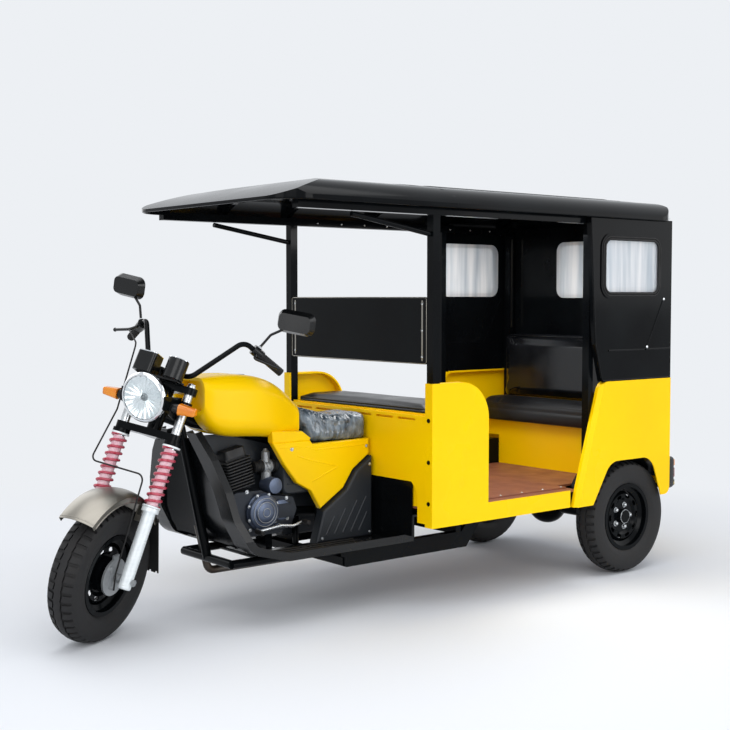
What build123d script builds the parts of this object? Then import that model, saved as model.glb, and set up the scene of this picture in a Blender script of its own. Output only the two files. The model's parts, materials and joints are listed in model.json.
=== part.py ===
"""Passenger auto rickshaw: a motorcycle front end and open saddle ahead of a roofed cabin on two rear wheels.

Frame: millimetres, +Z up, the front faces -Y, +X is the vehicle's left, the floor is Z = 0.
Everything that steers is drawn straight ahead and then turned by STEER_PARKED about the steering axis.
"""

import os
from math import cos, radians, sin, tan

from build123d import *

os.makedirs("parts", exist_ok=True)

# Main layout
REAR_AXLE_Y = 1264.7
WHEELBASE = 2620
TRACK = 970
POST_Y = REAR_AXLE_Y - 1320
CABIN_REAR_Y = REAR_AXLE_Y + 280
FRONT_AXLE_Y = REAR_AXLE_Y - WHEELBASE
SEAT_GAP = 0.3

# Wheels
TYRE_R = 280
TYRE_W = 124
TREAD_HALF = 50
SHOULDER_DROP = 13
RIM_W = 98
BEAD_R = 152.5
FLANGE_R = 166
WELL_R = 132
RIM_T = 5
DRUM_R = 108
HUB_R = 34
STUD_CIRCLE_R = 57
STUD_COUNT = 5
WINDOW_COUNT = 10
AXLE_R = 7.5
RUNNING_GAP = 0.05

# Steering and fork
RAKE = 22
FORK_OFFSET = 33
FORK_HALF = 123
STEER_PARKED = 30
PARKED_DROP = 1.48
TUBE_R = 19
SLIDER_R = 26
SLIDER_TOP = 300
SPRING_TOP = 560
LOWER_YOKE = 575
UPPER_YOKE = 775
YOKE_T = 30
STEM_R = 16
HEAD_R = 30
HEAD_BORE_R = 24
SPRING_R = 30
SPRING_WIRE_R = 5.5
SPRING_PITCH = 28
CABLE_R = 3.5

# Cabin
ARCH_MARGIN = 90
CABIN_TAPER = 30
ROOF_OVERHANG = 25
REAR_HALF = TRACK / 2 + ARCH_MARGIN
FRONT_HALF = REAR_HALF - CABIN_TAPER
SKIN = 6
RIM_DEPTH = 46
RIM_EDGE = 9
SILL_BOTTOM = 375
SILL_TOP = 455
DECK_T = 10
PANEL_TOP = 1000
WAIST_Z = 965
EAVE_Z = 1755
CROWN_Z = 1885
ROOF_HALF = REAR_HALF + ROOF_OVERHANG
ROOF_T = 12
ROOF_CORNER_R = 135
ROOF_FRONT_Y = POST_Y - 810
ROOF_REAR_Y = CABIN_REAR_Y + 22
ROOF_SEAM_Y = POST_Y + 85
POST = 40
WALL_T = 30
DOOR_FRONT_Y = POST_Y + 340
DOOR_REAR_Y = POST_Y + 915
QUARTER_TOP_Y = POST_Y + 1075
UPPER_FRONT_Y = POST_Y + 1025
ARCH_TOP = TYRE_R + 295

# Benches
BENCH_HALF = FRONT_HALF - 50
BACKREST_T = 50
REAR_BENCH_FRONT_Y = REAR_AXLE_Y + 30
FRONT_BENCH_REAR_Y = POST_Y + 330

# Chassis
RAIL_X = 300
RAIL_W = 40
LOW_RAIL_BOTTOM = 212
FOOT_Z = 287
LOW_RAIL_TOP = FOOT_Z - SEAT_GAP
HIGH_RAIL_BOTTOM = 385
HIGH_RAIL_TOP = SILL_TOP - DECK_T

FRONT_AXLE = Vector(0, FRONT_AXLE_Y, TYRE_R - PARKED_DROP)
FORK_UP = Vector(0, sin(radians(RAKE)), cos(radians(RAKE)))
# Fork frame: x to the left, y rearward, z up along the legs, origin at the front axle.
FORK = Plane(origin=FRONT_AXLE, x_dir=(1, 0, 0), z_dir=FORK_UP)
STEERING_AXIS = Axis(FORK.from_local_coords((0, FORK_OFFSET, 0)), FORK_UP)


def keep(part, name):
    """Labels a finished piece and writes its STEP file."""
    part.label = name
    export_step(part, f"parts/{name}.step")


def keep_steered(part, name):
    """Turns a piece of the steering assembly to the parked angle, then writes it."""
    keep(part.rotate(STEERING_AXIS, STEER_PARKED), name)


def bent_tube(points, radius, bend):
    """A round bar along straight runs joined by arcs."""
    with BuildPart() as tube:
        with BuildLine() as path:
            FilletPolyline(*points, radius=bend)
        with BuildSketch(Plane(origin=path.line @ 0, z_dir=path.line % 0)):
            Circle(radius)
        sweep(path=path.line)
    return tube.part


def straight_bar(start, end, radius):
    """A round bar between two points."""
    run = Vector(*end) - Vector(*start)
    with BuildPart() as bar:
        with BuildSketch(Plane(origin=start, z_dir=run)):
            Circle(radius)
        extrude(amount=run.length)
    return bar.part


def box_between(low, high):
    """A block given by two opposite corners."""
    size = Vector(*high) - Vector(*low)
    middle = (Vector(*high) + Vector(*low)) * 0.5
    with BuildPart(Plane(origin=middle)) as block:
        Box(size.X, size.Y, size.Z)
    return block.part


# Wheels
def tyre(centre):
    """A tyre round a point on its axle line, as a solid ring seated on the rim."""
    seat = RIM_W / 2 - RIM_T - SEAT_GAP
    shoulder_r = TYRE_R - SHOULDER_DROP
    belly_r = (FLANGE_R + shoulder_r) / 2
    lip_r = FLANGE_R + 1
    with BuildPart() as ring:
        with BuildSketch(Plane(origin=centre, x_dir=(1, 0, 0), z_dir=(0, -1, 0))):
            with BuildLine():
                Polyline((-seat, lip_r), (-seat, BEAD_R + SEAT_GAP), (seat, BEAD_R + SEAT_GAP), (seat, lip_r))
                ThreePointArc((seat, lip_r), (TYRE_W / 2, belly_r), (TREAD_HALF, shoulder_r))
                ThreePointArc((TREAD_HALF, shoulder_r), (0, TYRE_R), (-TREAD_HALF, shoulder_r))
                ThreePointArc((-TREAD_HALF, shoulder_r), (-TYRE_W / 2, belly_r), (-seat, lip_r))
            make_face()
        revolve(axis=Axis(centre, (1, 0, 0)))
    return ring.part


def rim(centre, disc_x):
    """A pressed steel rim with its dished disc, windows and wheel nuts. disc_x is the disc's outer face."""
    half = RIM_W / 2
    ledge = half - 24
    well = 16
    disc_t = 5
    with BuildPart() as wheel:
        with BuildSketch(Plane(origin=centre, x_dir=(1, 0, 0), z_dir=(0, -1, 0))):
            with BuildLine():
                Polyline(
                    (-half, FLANGE_R), (-half + RIM_T, FLANGE_R), (-half + RIM_T, BEAD_R), (-ledge, BEAD_R),
                    (-well, WELL_R), (well, WELL_R),
                    (ledge, BEAD_R), (half - RIM_T, BEAD_R), (half - RIM_T, FLANGE_R), (half, FLANGE_R),
                    (half, BEAD_R - RIM_T), (ledge - 2, BEAD_R - RIM_T), (well - 2, WELL_R - RIM_T),
                    (-well + 2, WELL_R - RIM_T), (-ledge + 2, BEAD_R - RIM_T), (-half, BEAD_R - RIM_T),
                    close=True,
                )
            make_face()
        revolve(axis=Axis(centre, (1, 0, 0)))
        with BuildSketch(Plane(origin=centre, x_dir=(1, 0, 0), z_dir=(0, -1, 0))):
            with BuildLine():
                Polyline(
                    (disc_x, HUB_R), (disc_x, 78), (disc_x + 10, 92), (disc_x + 10, 112),
                    (0, WELL_R - RIM_T + 2), (-disc_t, WELL_R - RIM_T + 2),
                    (disc_x + 10 - disc_t, 108), (disc_x + 10 - disc_t, 94),
                    (disc_x - disc_t, 80), (disc_x - disc_t, HUB_R),
                    close=True,
                )
            make_face()
        revolve(axis=Axis(centre, (1, 0, 0)))
        outer_face = Plane(origin=Vector(*centre) + Vector(disc_x - 2, 0, 0), x_dir=(0, 1, 0), z_dir=(1, 0, 0))
        with BuildSketch(outer_face):
            with PolarLocations(100, WINDOW_COUNT):
                SlotCenterToCenter(16, 17, rotation=90)
        extrude(amount=30, both=True, mode=Mode.SUBTRACT)
        with BuildSketch(outer_face):
            with PolarLocations(STUD_CIRCLE_R, STUD_COUNT):
                RegularPolygon(9.5, 6)
        extrude(amount=14)
    return wheel.part


REAR_LEFT = Vector(TRACK / 2, REAR_AXLE_Y, TYRE_R)
HOUSE_IN_X = TRACK / 2 - 89
BENCH_FOOT_HALF = HOUSE_IN_X - 4
REAR_DISC_X = 14
STUB_R = 20
STUB_L = 70
DRUM_DEPTH = 62
BACKPLATE_X = TRACK / 2 + REAR_DISC_X - 5 - DRUM_DEPTH
PLATE_T = 5


def across(x):
    """A plane across the vehicle at x, with its normal to the left."""
    return Plane.YZ.offset(x)


def rear_rim():
    """The left rear wheel with its brake drum, hub cap and the stub shaft that runs in the axle housing."""
    hub_face = REAR_LEFT.X + REAR_DISC_X
    with BuildPart() as wheel:
        add(rim(REAR_LEFT, REAR_DISC_X))
        with BuildSketch(across(BACKPLATE_X + 2)):
            with Locations((REAR_LEFT.Y, REAR_LEFT.Z)):
                Circle(DRUM_R)
        extrude(amount=hub_face - 5 - BACKPLATE_X - 2)
        with BuildSketch(across(BACKPLATE_X - STUB_L)):
            with Locations((REAR_LEFT.Y, REAR_LEFT.Z)):
                Circle(STUB_R)
        extrude(amount=STUB_L + DRUM_DEPTH)
        with BuildSketch(across(hub_face - 6)):
            with Locations((REAR_LEFT.Y, REAR_LEFT.Z)):
                Circle(HUB_R + 2)
        extrude(amount=30, taper=8)
    return wheel.part


def front_rim():
    """The front wheel with its drum hub, bored for the fixed axle."""
    with BuildPart() as wheel:
        add(rim(FRONT_AXLE, 6))
        hub = Plane(origin=FRONT_AXLE, x_dir=(0, 1, 0), z_dir=(1, 0, 0))
        with BuildSketch(hub):
            Circle(70)
        extrude(amount=34, both=True)
        with BuildSketch(hub):
            Circle(25)
        extrude(amount=55, both=True)
        with BuildSketch(hub):
            Circle(AXLE_R + RUNNING_GAP)
        extrude(amount=90, both=True, mode=Mode.SUBTRACT)
    return wheel.part


rear_left_tyre = tyre(REAR_LEFT)
rear_left_rim = rear_rim()
keep(rear_left_tyre, "rear_left_tyre")
keep(rear_left_rim, "rear_left_rim")
keep(mirror(rear_left_tyre, about=Plane.YZ), "rear_right_tyre")
keep(mirror(rear_left_rim, about=Plane.YZ), "rear_right_rim")
keep_steered(tyre(FRONT_AXLE), "front_tyre")
keep_steered(front_rim(), "front_rim")

# Front fork and yokes
with BuildPart() as fork_tubes:
    with BuildSketch(FORK.offset(SLIDER_TOP - 40)):
        with GridLocations(2 * FORK_HALF, 1, 2, 1):
            Circle(TUBE_R)
    extrude(amount=UPPER_YOKE + YOKE_T + 8 - SLIDER_TOP + 40)
keep_steered(fork_tubes.part, "fork_tubes")

with BuildPart() as fork_sliders:
    with BuildSketch(FORK.offset(-34)):
        with GridLocations(2 * FORK_HALF, 1, 2, 1):
            Circle(SLIDER_R)
    extrude(amount=SLIDER_TOP + 34)
    with BuildSketch(FORK.offset(SLIDER_TOP - 18)):
        with GridLocations(2 * FORK_HALF, 1, 2, 1):
            Circle(SPRING_R + SPRING_WIRE_R)
    extrude(amount=18)
    with BuildSketch(FORK.offset(SLIDER_TOP - 42)):
        with GridLocations(2 * FORK_HALF, 1, 2, 1):
            Circle(TUBE_R + SEAT_GAP)
    extrude(amount=60, mode=Mode.SUBTRACT)
    with BuildSketch(Plane(origin=FRONT_AXLE, x_dir=(0, 1, 0), z_dir=(1, 0, 0))):
        Circle(AXLE_R + SEAT_GAP)
    extrude(amount=FORK_HALF + 60, both=True, mode=Mode.SUBTRACT)
    fillet(fork_sliders.edges().filter_by(GeomType.CIRCLE).group_by(Axis.Z)[0], 8)
keep_steered(fork_sliders.part, "fork_sliders")

with BuildPart() as coil:
    with BuildLine() as wire:
        Helix(SPRING_PITCH, SPRING_TOP - SLIDER_TOP - 2 * SPRING_WIRE_R - 2 * SEAT_GAP, SPRING_R)
    with BuildSketch(Plane(origin=wire.line @ 0, z_dir=wire.line % 0)):
        Circle(SPRING_WIRE_R)
    sweep(path=wire.line, is_frenet=True)

with BuildPart() as fork_springs:
    for side in (-1, 1):
        seat = FORK.from_local_coords((side * FORK_HALF, 0, SLIDER_TOP + SPRING_WIRE_R + SEAT_GAP))
        add(Location(Plane(origin=seat, x_dir=(1, 0, 0), z_dir=FORK_UP)) * coil.part)
keep_steered(fork_springs.part, "fork_springs")

with BuildPart() as steering_yokes:
    for height in (LOWER_YOKE, UPPER_YOKE):
        with BuildSketch(FORK.offset(height)):
            SlotCenterToCenter(2 * FORK_HALF, 58)
            with Locations((0, FORK_OFFSET)):
                Circle(36)
            with GridLocations(2 * FORK_HALF, 1, 2, 1):
                Circle(TUBE_R + SEAT_GAP, mode=Mode.SUBTRACT)
        extrude(amount=YOKE_T)
    with BuildSketch(FORK.offset(SPRING_TOP)):
        with GridLocations(2 * FORK_HALF, 1, 2, 1):
            Circle(SPRING_R + SPRING_WIRE_R)
            Circle(TUBE_R + SEAT_GAP, mode=Mode.SUBTRACT)
    extrude(amount=LOWER_YOKE - SPRING_TOP)
    with BuildSketch(FORK.offset(LOWER_YOKE)):
        with Locations((0, FORK_OFFSET)):
            Circle(STEM_R)
    extrude(amount=UPPER_YOKE - LOWER_YOKE + YOKE_T + 10)
keep_steered(steering_yokes.part, "steering_yokes")

AXLE_END = FORK_HALF + SLIDER_R + 14
CAM_CABLE_X = 89
with BuildPart() as front_axle:
    with BuildSketch(Plane(origin=FRONT_AXLE, x_dir=(0, 1, 0), z_dir=(1, 0, 0))):
        Circle(AXLE_R)
    extrude(amount=AXLE_END, both=True)
    for side in (-1, 1):
        nut_face = FRONT_AXLE + Vector(side * (AXLE_END - 12), 0, 0)
        with BuildSketch(Plane(origin=nut_face, x_dir=(0, 1, 0), z_dir=(side, 0, 0))):
            RegularPolygon(14, 6)
        extrude(amount=10)
    # Brake backing plate with its cam lever, held by the left leg.
    with BuildSketch(Plane(origin=FRONT_AXLE + Vector(57, 0, 0), x_dir=(0, 1, 0), z_dir=(1, 0, 0))):
        Circle(76)
        with Locations((0, 62)):
            Rectangle(34, 60)
    extrude(amount=9)
    with BuildSketch(Plane(origin=FRONT_AXLE + Vector(66, 0, 0), x_dir=(0, 1, 0), z_dir=(1, 0, 0))):
        with Locations((-30, 36)):
            Circle(12)
        with Locations((-30, 0)):
            SlotCenterToCenter(72, 14, rotation=90)
    extrude(amount=10)
    with BuildSketch(Plane(origin=FRONT_AXLE + Vector(66, 0, 0), x_dir=(0, 1, 0), z_dir=(1, 0, 0))):
        with Locations((-30, -36)):
            Circle(5)
    extrude(amount=CAM_CABLE_X - CABLE_R - SEAT_GAP - 66)
    with BuildSketch(Plane(origin=FRONT_AXLE + Vector(66, 0, 0), x_dir=(0, 1, 0), z_dir=(1, 0, 0))):
        Circle(18)
    extrude(amount=FORK_HALF - SLIDER_R - 66 - SEAT_GAP)
keep_steered(front_axle.part, "front_axle")

FENDER_R = TYRE_R + 50
FENDER_HALF = 78
FENDER_T = 3
FENDER_ARC = 100
FENDER_AHEAD = 40
STAY_LOW = 236
STAY_TOP = 312
FENDER_CENTRE = FRONT_AXLE + Vector(0, -12, 18)
with BuildPart() as front_fender:
    with BuildSketch(Plane(origin=FENDER_CENTRE, x_dir=(1, 0, 0), z_dir=(0, -1, 0))):
        with BuildLine():
            Line((-FENDER_HALF, FENDER_R - 40), (-FENDER_HALF, FENDER_R - 18))
            ThreePointArc((-FENDER_HALF, FENDER_R - 18), (0, FENDER_R), (FENDER_HALF, FENDER_R - 18))
            Line((FENDER_HALF, FENDER_R - 18), (FENDER_HALF, FENDER_R - 40))
            offset(amount=-FENDER_T, side=Side.RIGHT)
        make_face()
    revolve(axis=Axis(FENDER_CENTRE, (1, 0, 0)), revolution_arc=FENDER_ARC)
LEG_IN_X = FORK_HALF - SLIDER_R - SEAT_GAP
with BuildPart() as fender_with_stays:
    add(front_fender.part.rotate(Axis(FENDER_CENTRE, (1, 0, 0)), FENDER_AHEAD - FENDER_ARC))
    for side in (-1, 1):
        with BuildSketch(FORK.offset(STAY_LOW)):
            with Locations((side * (FENDER_HALF - 1), 0)):
                Rectangle(4, 34)
        extrude(amount=STAY_TOP - STAY_LOW)
        with BuildSketch(FORK.offset(STAY_LOW)):
            with Locations((side * (FENDER_HALF - 3 + LEG_IN_X) / 2, 0)):
                Rectangle(LEG_IN_X - FENDER_HALF + 3, 34)
        extrude(amount=24)
keep_steered(fender_with_stays.part, "front_fender")

HEADLIGHT = FRONT_AXLE + Vector(0, 161, 701.5)
HEADLIGHT_R = 98
LAMP_TILT = 4
EAR_T = 4
EAR_X = FORK_HALF - TUBE_R - EAR_T - 2 * SEAT_GAP
LAMP_AHEAD = Vector(0, -cos(radians(LAMP_TILT)), -sin(radians(LAMP_TILT)))
LAMP = Plane(origin=HEADLIGHT, x_dir=(1, 0, 0), z_dir=LAMP_AHEAD)
with BuildPart() as headlight_bowl:
    with BuildSketch(Plane(origin=HEADLIGHT, x_dir=LAMP_AHEAD, z_dir=(1, 0, 0))):
        with BuildLine():
            Line((-95, 0), (-95, 34))
            ThreePointArc((-95, 34), (-58, 72), (-2, HEADLIGHT_R - 6))
            Polyline(
                (-2, HEADLIGHT_R - 6), (-2, HEADLIGHT_R), (12, HEADLIGHT_R), (16, HEADLIGHT_R - 8),
                (4, HEADLIGHT_R - 8), (4, 0), (-95, 0))
        make_face()
    revolve(axis=Axis(HEADLIGHT, LAMP_AHEAD))
    for side in (-1, 1):
        pivot = HEADLIGHT + Vector(side * 70, 14, 0)
        add(straight_bar(pivot, pivot + Vector(side * (EAR_X - SEAT_GAP - 70), 0, 0), 9))
keep_steered(headlight_bowl.part, "headlight_bowl")

LENS_BACK = 4 + SEAT_GAP
LENS_FRONT = 26
LENS_CURVE_R = 275
with BuildPart() as headlight_lens:
    with BuildSketch(LAMP.offset(LENS_BACK)):
        Circle(HEADLIGHT_R - 8.4)
    extrude(amount=LENS_FRONT)
    with Locations(LAMP.from_local_coords((0, 0, LENS_FRONT - LENS_CURVE_R))):
        Sphere(LENS_CURVE_R, mode=Mode.INTERSECT)
keep_steered(headlight_lens.part, "headlight_lens")

INDICATOR = FRONT_AXLE + Vector(180, 197, 678.5)
STALK_X = EAR_X + EAR_T + SEAT_GAP
with BuildPart() as indicators:
    with BuildSketch(across(INDICATOR.X - 34)):
        with Locations((INDICATOR.Y, INDICATOR.Z)):
            RectangleRounded(46, 46, 14)
    extrude(amount=74, taper=6)
    fillet(indicators.faces().sort_by(Axis.X)[-1].edges(), 10)
    with BuildSketch(across(STALK_X)):
        with Locations((INDICATOR.Y, INDICATOR.Z)):
            Circle(9)
    extrude(amount=INDICATOR.X - 34 - STALK_X)
    mirror(about=Plane.YZ)
keep_steered(indicators.part, "indicators")

# Cockpit
PERCH = FRONT_AXLE + Vector(270, 503, 925.5)
GRIP_END = FRONT_AXLE + Vector(373, 584, 838.5)
BAR_R = 11
BAR_MID = FORK.from_local_coords((0, 5, UPPER_YOKE + YOKE_T + 44))
GRIP_RUN = (PERCH - GRIP_END).normalized()
GRIP_L = 112
GRIP_AHEAD = (Vector(0, -1, 0) - GRIP_RUN * Vector(0, -1, 0).dot(GRIP_RUN)).normalized()
GRIP_ABOVE = (Vector(0, 0, 1) - GRIP_RUN * GRIP_RUN.Z).normalized()
KNEE = PERCH + GRIP_RUN * 46


def left_right(points):
    """A left-hand chain of points run on across to its mirror image."""
    return [(-p.X, p.Y, p.Z) for p in points] + [(p.X, p.Y, p.Z) for p in reversed(points)]


with BuildPart() as handlebar:
    add(bent_tube(left_right([GRIP_END, KNEE, BAR_MID + Vector(100, 0, 0)]), BAR_R, 45))
    with BuildSketch(FORK.offset(UPPER_YOKE + YOKE_T + SEAT_GAP)):
        with Locations((-45, 5), (45, 5)):
            Circle(15)
    extrude(amount=58)
keep_steered(handlebar.part, "handlebar")

GRIP_PLANE = Plane(origin=GRIP_END, z_dir=GRIP_RUN)
with BuildPart() as handgrips:
    with BuildSketch(GRIP_PLANE):
        Circle(16.5)
        Circle(BAR_R + SEAT_GAP, mode=Mode.SUBTRACT)
    extrude(amount=GRIP_L)
    with BuildSketch(GRIP_PLANE.offset(GRIP_L - 7)):
        Circle(21)
        Circle(BAR_R + SEAT_GAP, mode=Mode.SUBTRACT)
    extrude(amount=7)
    mirror(about=Plane.YZ)
keep_steered(handgrips.part, "handgrips")

LEVER_TIP = FRONT_AXLE + Vector(402, 497, 871.5)
CONTROL = PERCH - GRIP_RUN * 20
CONTROL_R = 22
with BuildPart() as hand_controls:
    with BuildSketch(GRIP_PLANE.offset(GRIP_L + SEAT_GAP)):
        Circle(CONTROL_R)
    extrude(amount=43)
    add(bent_tube([CONTROL + GRIP_AHEAD * 15, CONTROL + GRIP_AHEAD * 58, LEVER_TIP], 6.5, 14))
    with BuildSketch(GRIP_PLANE.offset(GRIP_L)):
        Circle(BAR_R + SEAT_GAP)
    extrude(amount=70, mode=Mode.SUBTRACT)
    mirror(about=Plane.YZ)
keep_steered(hand_controls.part, "hand_controls")

MIRROR = FRONT_AXLE + Vector(411, 590, 1057.5)
MIRROR_PLANE = Plane(origin=MIRROR, x_dir=(1, 0, 0), z_dir=(-0.14, 0.99, 0))
with BuildPart() as mirrors:
    with BuildSketch(MIRROR_PLANE):
        RectangleRounded(165, 98, 34)
    extrude(amount=-34, taper=22)
    with BuildSketch(MIRROR_PLANE.offset(-4)):
        RectangleRounded(151, 84, 27)
    extrude(amount=6, mode=Mode.SUBTRACT)
    stem = CONTROL + GRIP_ABOVE * (CONTROL_R + SEAT_GAP)
    add(bent_tube([stem, stem + GRIP_ABOVE * 70, MIRROR + Vector(-30, -22, -26)], 5.5, 20))
    mirror(about=Plane.YZ)
keep_steered(mirrors.part, "mirrors")

with BuildPart() as mirror_glasses:
    with BuildSketch(MIRROR_PLANE.offset(-4 + SEAT_GAP)):
        RectangleRounded(150, 83, 26.5)
    extrude(amount=2.5)
    mirror(about=Plane.YZ)
keep_steered(mirror_glasses.part, "mirror_glasses")

POD_PLANE = Plane(origin=FRONT_AXLE + Vector(0, 266, 834.5), x_dir=(1, 0, 0), z_dir=(0, 0.45, 0.893))
with BuildPart() as instruments:
    with BuildSketch(FORK.offset(UPPER_YOKE + YOKE_T + SEAT_GAP)):
        with Locations((0, -48)):
            Rectangle(190, 62)
    extrude(amount=8)
    with BuildSketch(POD_PLANE.offset(-62)):
        with Locations((66, 0)):
            Circle(43)
        with Locations((-66, 0)):
            RectangleRounded(88, 80, 16)
    extrude(amount=84)
    with BuildSketch(POD_PLANE.offset(18)):
        with Locations((66, 0)):
            Circle(37)
        with Locations((-66, 0)):
            RectangleRounded(76, 68, 12)
    extrude(amount=10, mode=Mode.SUBTRACT)
keep_steered(instruments.part, "instruments")

with BuildPart() as lamp_brackets:
    with BuildSketch(across(EAR_X)):
        with Locations((FRONT_AXLE.Y, FRONT_AXLE.Z)):
            Polygon((143, 671.5), (143, 727.5), (276, 705.5), (262, 626.5), (232, 619.5), align=None)
    extrude(amount=EAR_T)
    with BuildSketch(FORK.offset(715)):
        with Locations((FORK_HALF, 0)):
            Circle(TUBE_R + 7)
            Circle(TUBE_R + SEAT_GAP, mode=Mode.SUBTRACT)
    extrude(amount=28)
    mirror(about=Plane.YZ)
keep_steered(lamp_brackets.part, "lamp_brackets")

FLAP_TOP = 130
FLAP_DROP = 110
with BuildPart() as mud_flap:
    flap_middle = FRONT_AXLE + Vector(0, 286, 51.5)
    with BuildSketch(Plane(origin=flap_middle, x_dir=(1, 0, 0), z_dir=(0, -1, -0.12))):
        Polygon((-70, FLAP_TOP), (70, FLAP_TOP), (86, -FLAP_DROP), (-86, -FLAP_DROP), align=None)
        with GridLocations(30, 1, 6, 1):
            with Locations((0, -FLAP_DROP)):
                Rectangle(9, 16, mode=Mode.SUBTRACT)
    extrude(amount=-4)
keep_steered(mud_flap.part, "mud_flap")

KNUCKLE = CONTROL + GRIP_AHEAD * 58
with BuildPart() as control_cables:
    # Front brake cable from the right-hand lever round the headlamp to the cam lever on the left leg.
    add(bent_tube(
        [
            (-KNUCKLE.X + 1, KNUCKLE.Y - 7.2, KNUCKLE.Z),
            FRONT_AXLE + Vector(-FORK_HALF - 57, 330, 871.5),
            FRONT_AXLE + Vector(-FORK_HALF - 51, 240, 601.5),
            FRONT_AXLE + Vector(-FORK_HALF - 49, 90, 411.5),
            FRONT_AXLE + Vector(CAM_CABLE_X, 84, 411.5),
            FRONT_AXLE + Vector(CAM_CABLE_X, -30, 30),
            FRONT_AXLE + Vector(CAM_CABLE_X, -30, -40),
        ],
        CABLE_R, 30))
keep_steered(control_cables.part, "control_cables")

# Frame of the motorcycle half
def on_axis(height):
    """A point on the steering axis, by its height along the fork."""
    return FORK.from_local_coords((0, FORK_OFFSET, height))


BACKBONE_R = 26
CRADLE_X = 190
CRADLE_R = 18
CRADLE_Z = FOOT_Z - SEAT_GAP - CRADLE_R
CRADLE_FRONT_Y = POST_Y - 790
CRADLE_REAR_X = RAIL_X - RAIL_W / 2 - CRADLE_R - SEAT_GAP
SADDLE_REAR_Y = POST_Y - 12
SADDLE_BOTTOM = 742
TANK_TUNNEL = BACKBONE_R + 6
ENGINE_Y = POST_Y - 540
ENGINE_Z = 462
CASE_BOTTOM = ENGINE_Z - 110
STRUT_Y = POST_Y - 268
STRUT_FOOT = CRADLE_Z - CRADLE_R
with BuildPart() as front_frame:
    with BuildSketch(FORK.offset(LOWER_YOKE + YOKE_T + SEAT_GAP)):
        with Locations((0, FORK_OFFSET)):
            Circle(HEAD_R)
    extrude(amount=UPPER_YOKE - LOWER_YOKE - YOKE_T - 2 * SEAT_GAP)
    add(bent_tube(
        [on_axis(700), (0, POST_Y - 855, 850), (0, POST_Y - 460, 752), (0, SADDLE_REAR_Y - 30, 700)],
        BACKBONE_R, 90))
    add(bent_tube([on_axis(670), (0, POST_Y - 920, 850), (0, CRADLE_FRONT_Y, CRADLE_Z)], 20, 50))
    add(straight_bar((-CRADLE_X, CRADLE_FRONT_Y, CRADLE_Z), (CRADLE_X, CRADLE_FRONT_Y, CRADLE_Z), CRADLE_R))
    for side in (-1, 1):
        add(bent_tube(
            [
                (side * CRADLE_X, CRADLE_FRONT_Y, CRADLE_Z),
                (side * CRADLE_X, POST_Y - 380, CRADLE_Z),
                (side * CRADLE_REAR_X, POST_Y - 270, CRADLE_Z),
                (side * CRADLE_REAR_X, POST_Y - 40, CRADLE_Z),
            ],
            CRADLE_R, 60))
        add(bent_tube(
            [(0, SADDLE_REAR_Y - 60, 706), (side * 84, STRUT_Y, 430), (side * 84, STRUT_Y, STRUT_FOOT)],
            15, 40))
    # Engine mounts on the cradle, rubber pads for the tank and a rest for the saddle.
    for y in (ENGINE_Y - 70, ENGINE_Y + 40):
        add(straight_bar((-CRADLE_X, y, CRADLE_Z), (CRADLE_X, y, CRADLE_Z), 14))
        add(box_between((-40, y - 16, CRADLE_Z), (40, y + 16, CASE_BOTTOM - SEAT_GAP)))
    add(straight_bar((-TANK_TUNNEL + 0.4, POST_Y - 740, 821), (TANK_TUNNEL - 0.4, POST_Y - 740, 821), 14))
    add(box_between((-100, SADDLE_REAR_Y - 80, 706), (100, SADDLE_REAR_Y - 40, SADDLE_BOTTOM - 0.6)))
    with BuildSketch(FORK.offset(LOWER_YOKE)):
        with Locations((0, FORK_OFFSET)):
            Circle(HEAD_BORE_R)
    extrude(amount=260, mode=Mode.SUBTRACT)
keep(front_frame.part, "front_frame")

# Engine
CASE_HALF = 94
CASE_TOP = ENGINE_Z + 84
CASE_OUTLINE = (
    # y from ENGINE_Y, z from ENGINE_Z
    (-172, -40), (-176, 84), (-40, 84), (20, 56), (130, 40),
    (150, -14), (120, -84), (50, -110), (-84, -110), (-138, -84),
)
COVERS = (
    # side, radius and depth of each step
    (1, ((72, 20), (64, 30), (40, 34), (16, 40))),
    (-1, ((88, 24), (80, 36), (46, 40))),
)
with BuildPart() as engine_case:
    with BuildSketch(across(-CASE_HALF)):
        with Locations((ENGINE_Y, ENGINE_Z)):
            Polygon(*CASE_OUTLINE, align=None)
        fillet(vertices(), 16)
    extrude(amount=2 * CASE_HALF)
    for side, steps in COVERS:
        middle = (side * CASE_HALF, ENGINE_Y - 36, ENGINE_Z - 8)
        for radius, depth in steps:
            with BuildSketch(Plane(origin=middle, x_dir=(0, side, 0), z_dir=(side, 0, 0))):
                Circle(radius)
            extrude(amount=depth, taper=6)
    # Gearbox bulge behind the left cover.
    with BuildSketch(across(CASE_HALF)):
        with Locations((ENGINE_Y + 66, ENGINE_Z - 14)):
            SlotCenterToCenter(64, 66)
    extrude(amount=16, taper=12)
keep(engine_case.part, "engine_case")

CYLINDER_LEAN = 12
BARREL = 100
CYLINDER = Plane(
    origin=(0, ENGINE_Y - 108, CASE_TOP + SEAT_GAP), x_dir=(1, 0, 0),
    z_dir=(0, -sin(radians(CYLINDER_LEAN)), cos(radians(CYLINDER_LEAN))))
CYLINDER = CYLINDER.offset(2.1 + BARREL / 2 * tan(radians(CYLINDER_LEAN)))
FIN_COUNT = 10
FIN_PITCH = 13
with BuildPart() as engine_cylinder:
    with BuildSketch(CYLINDER.offset(-2)):
        Rectangle(BARREL, BARREL)
    extrude(amount=FIN_COUNT * FIN_PITCH + 30)
    for level in range(FIN_COUNT):
        with BuildSketch(CYLINDER.offset(4 + level * FIN_PITCH)):
            RectangleRounded(150, 138, 22)
        extrude(amount=4)
    with BuildSketch(CYLINDER.offset(FIN_COUNT * FIN_PITCH + 8)):
        RectangleRounded(128, 112, 20)
    extrude(amount=34, taper=10)
keep(engine_cylinder.part, "engine_cylinder")

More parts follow.
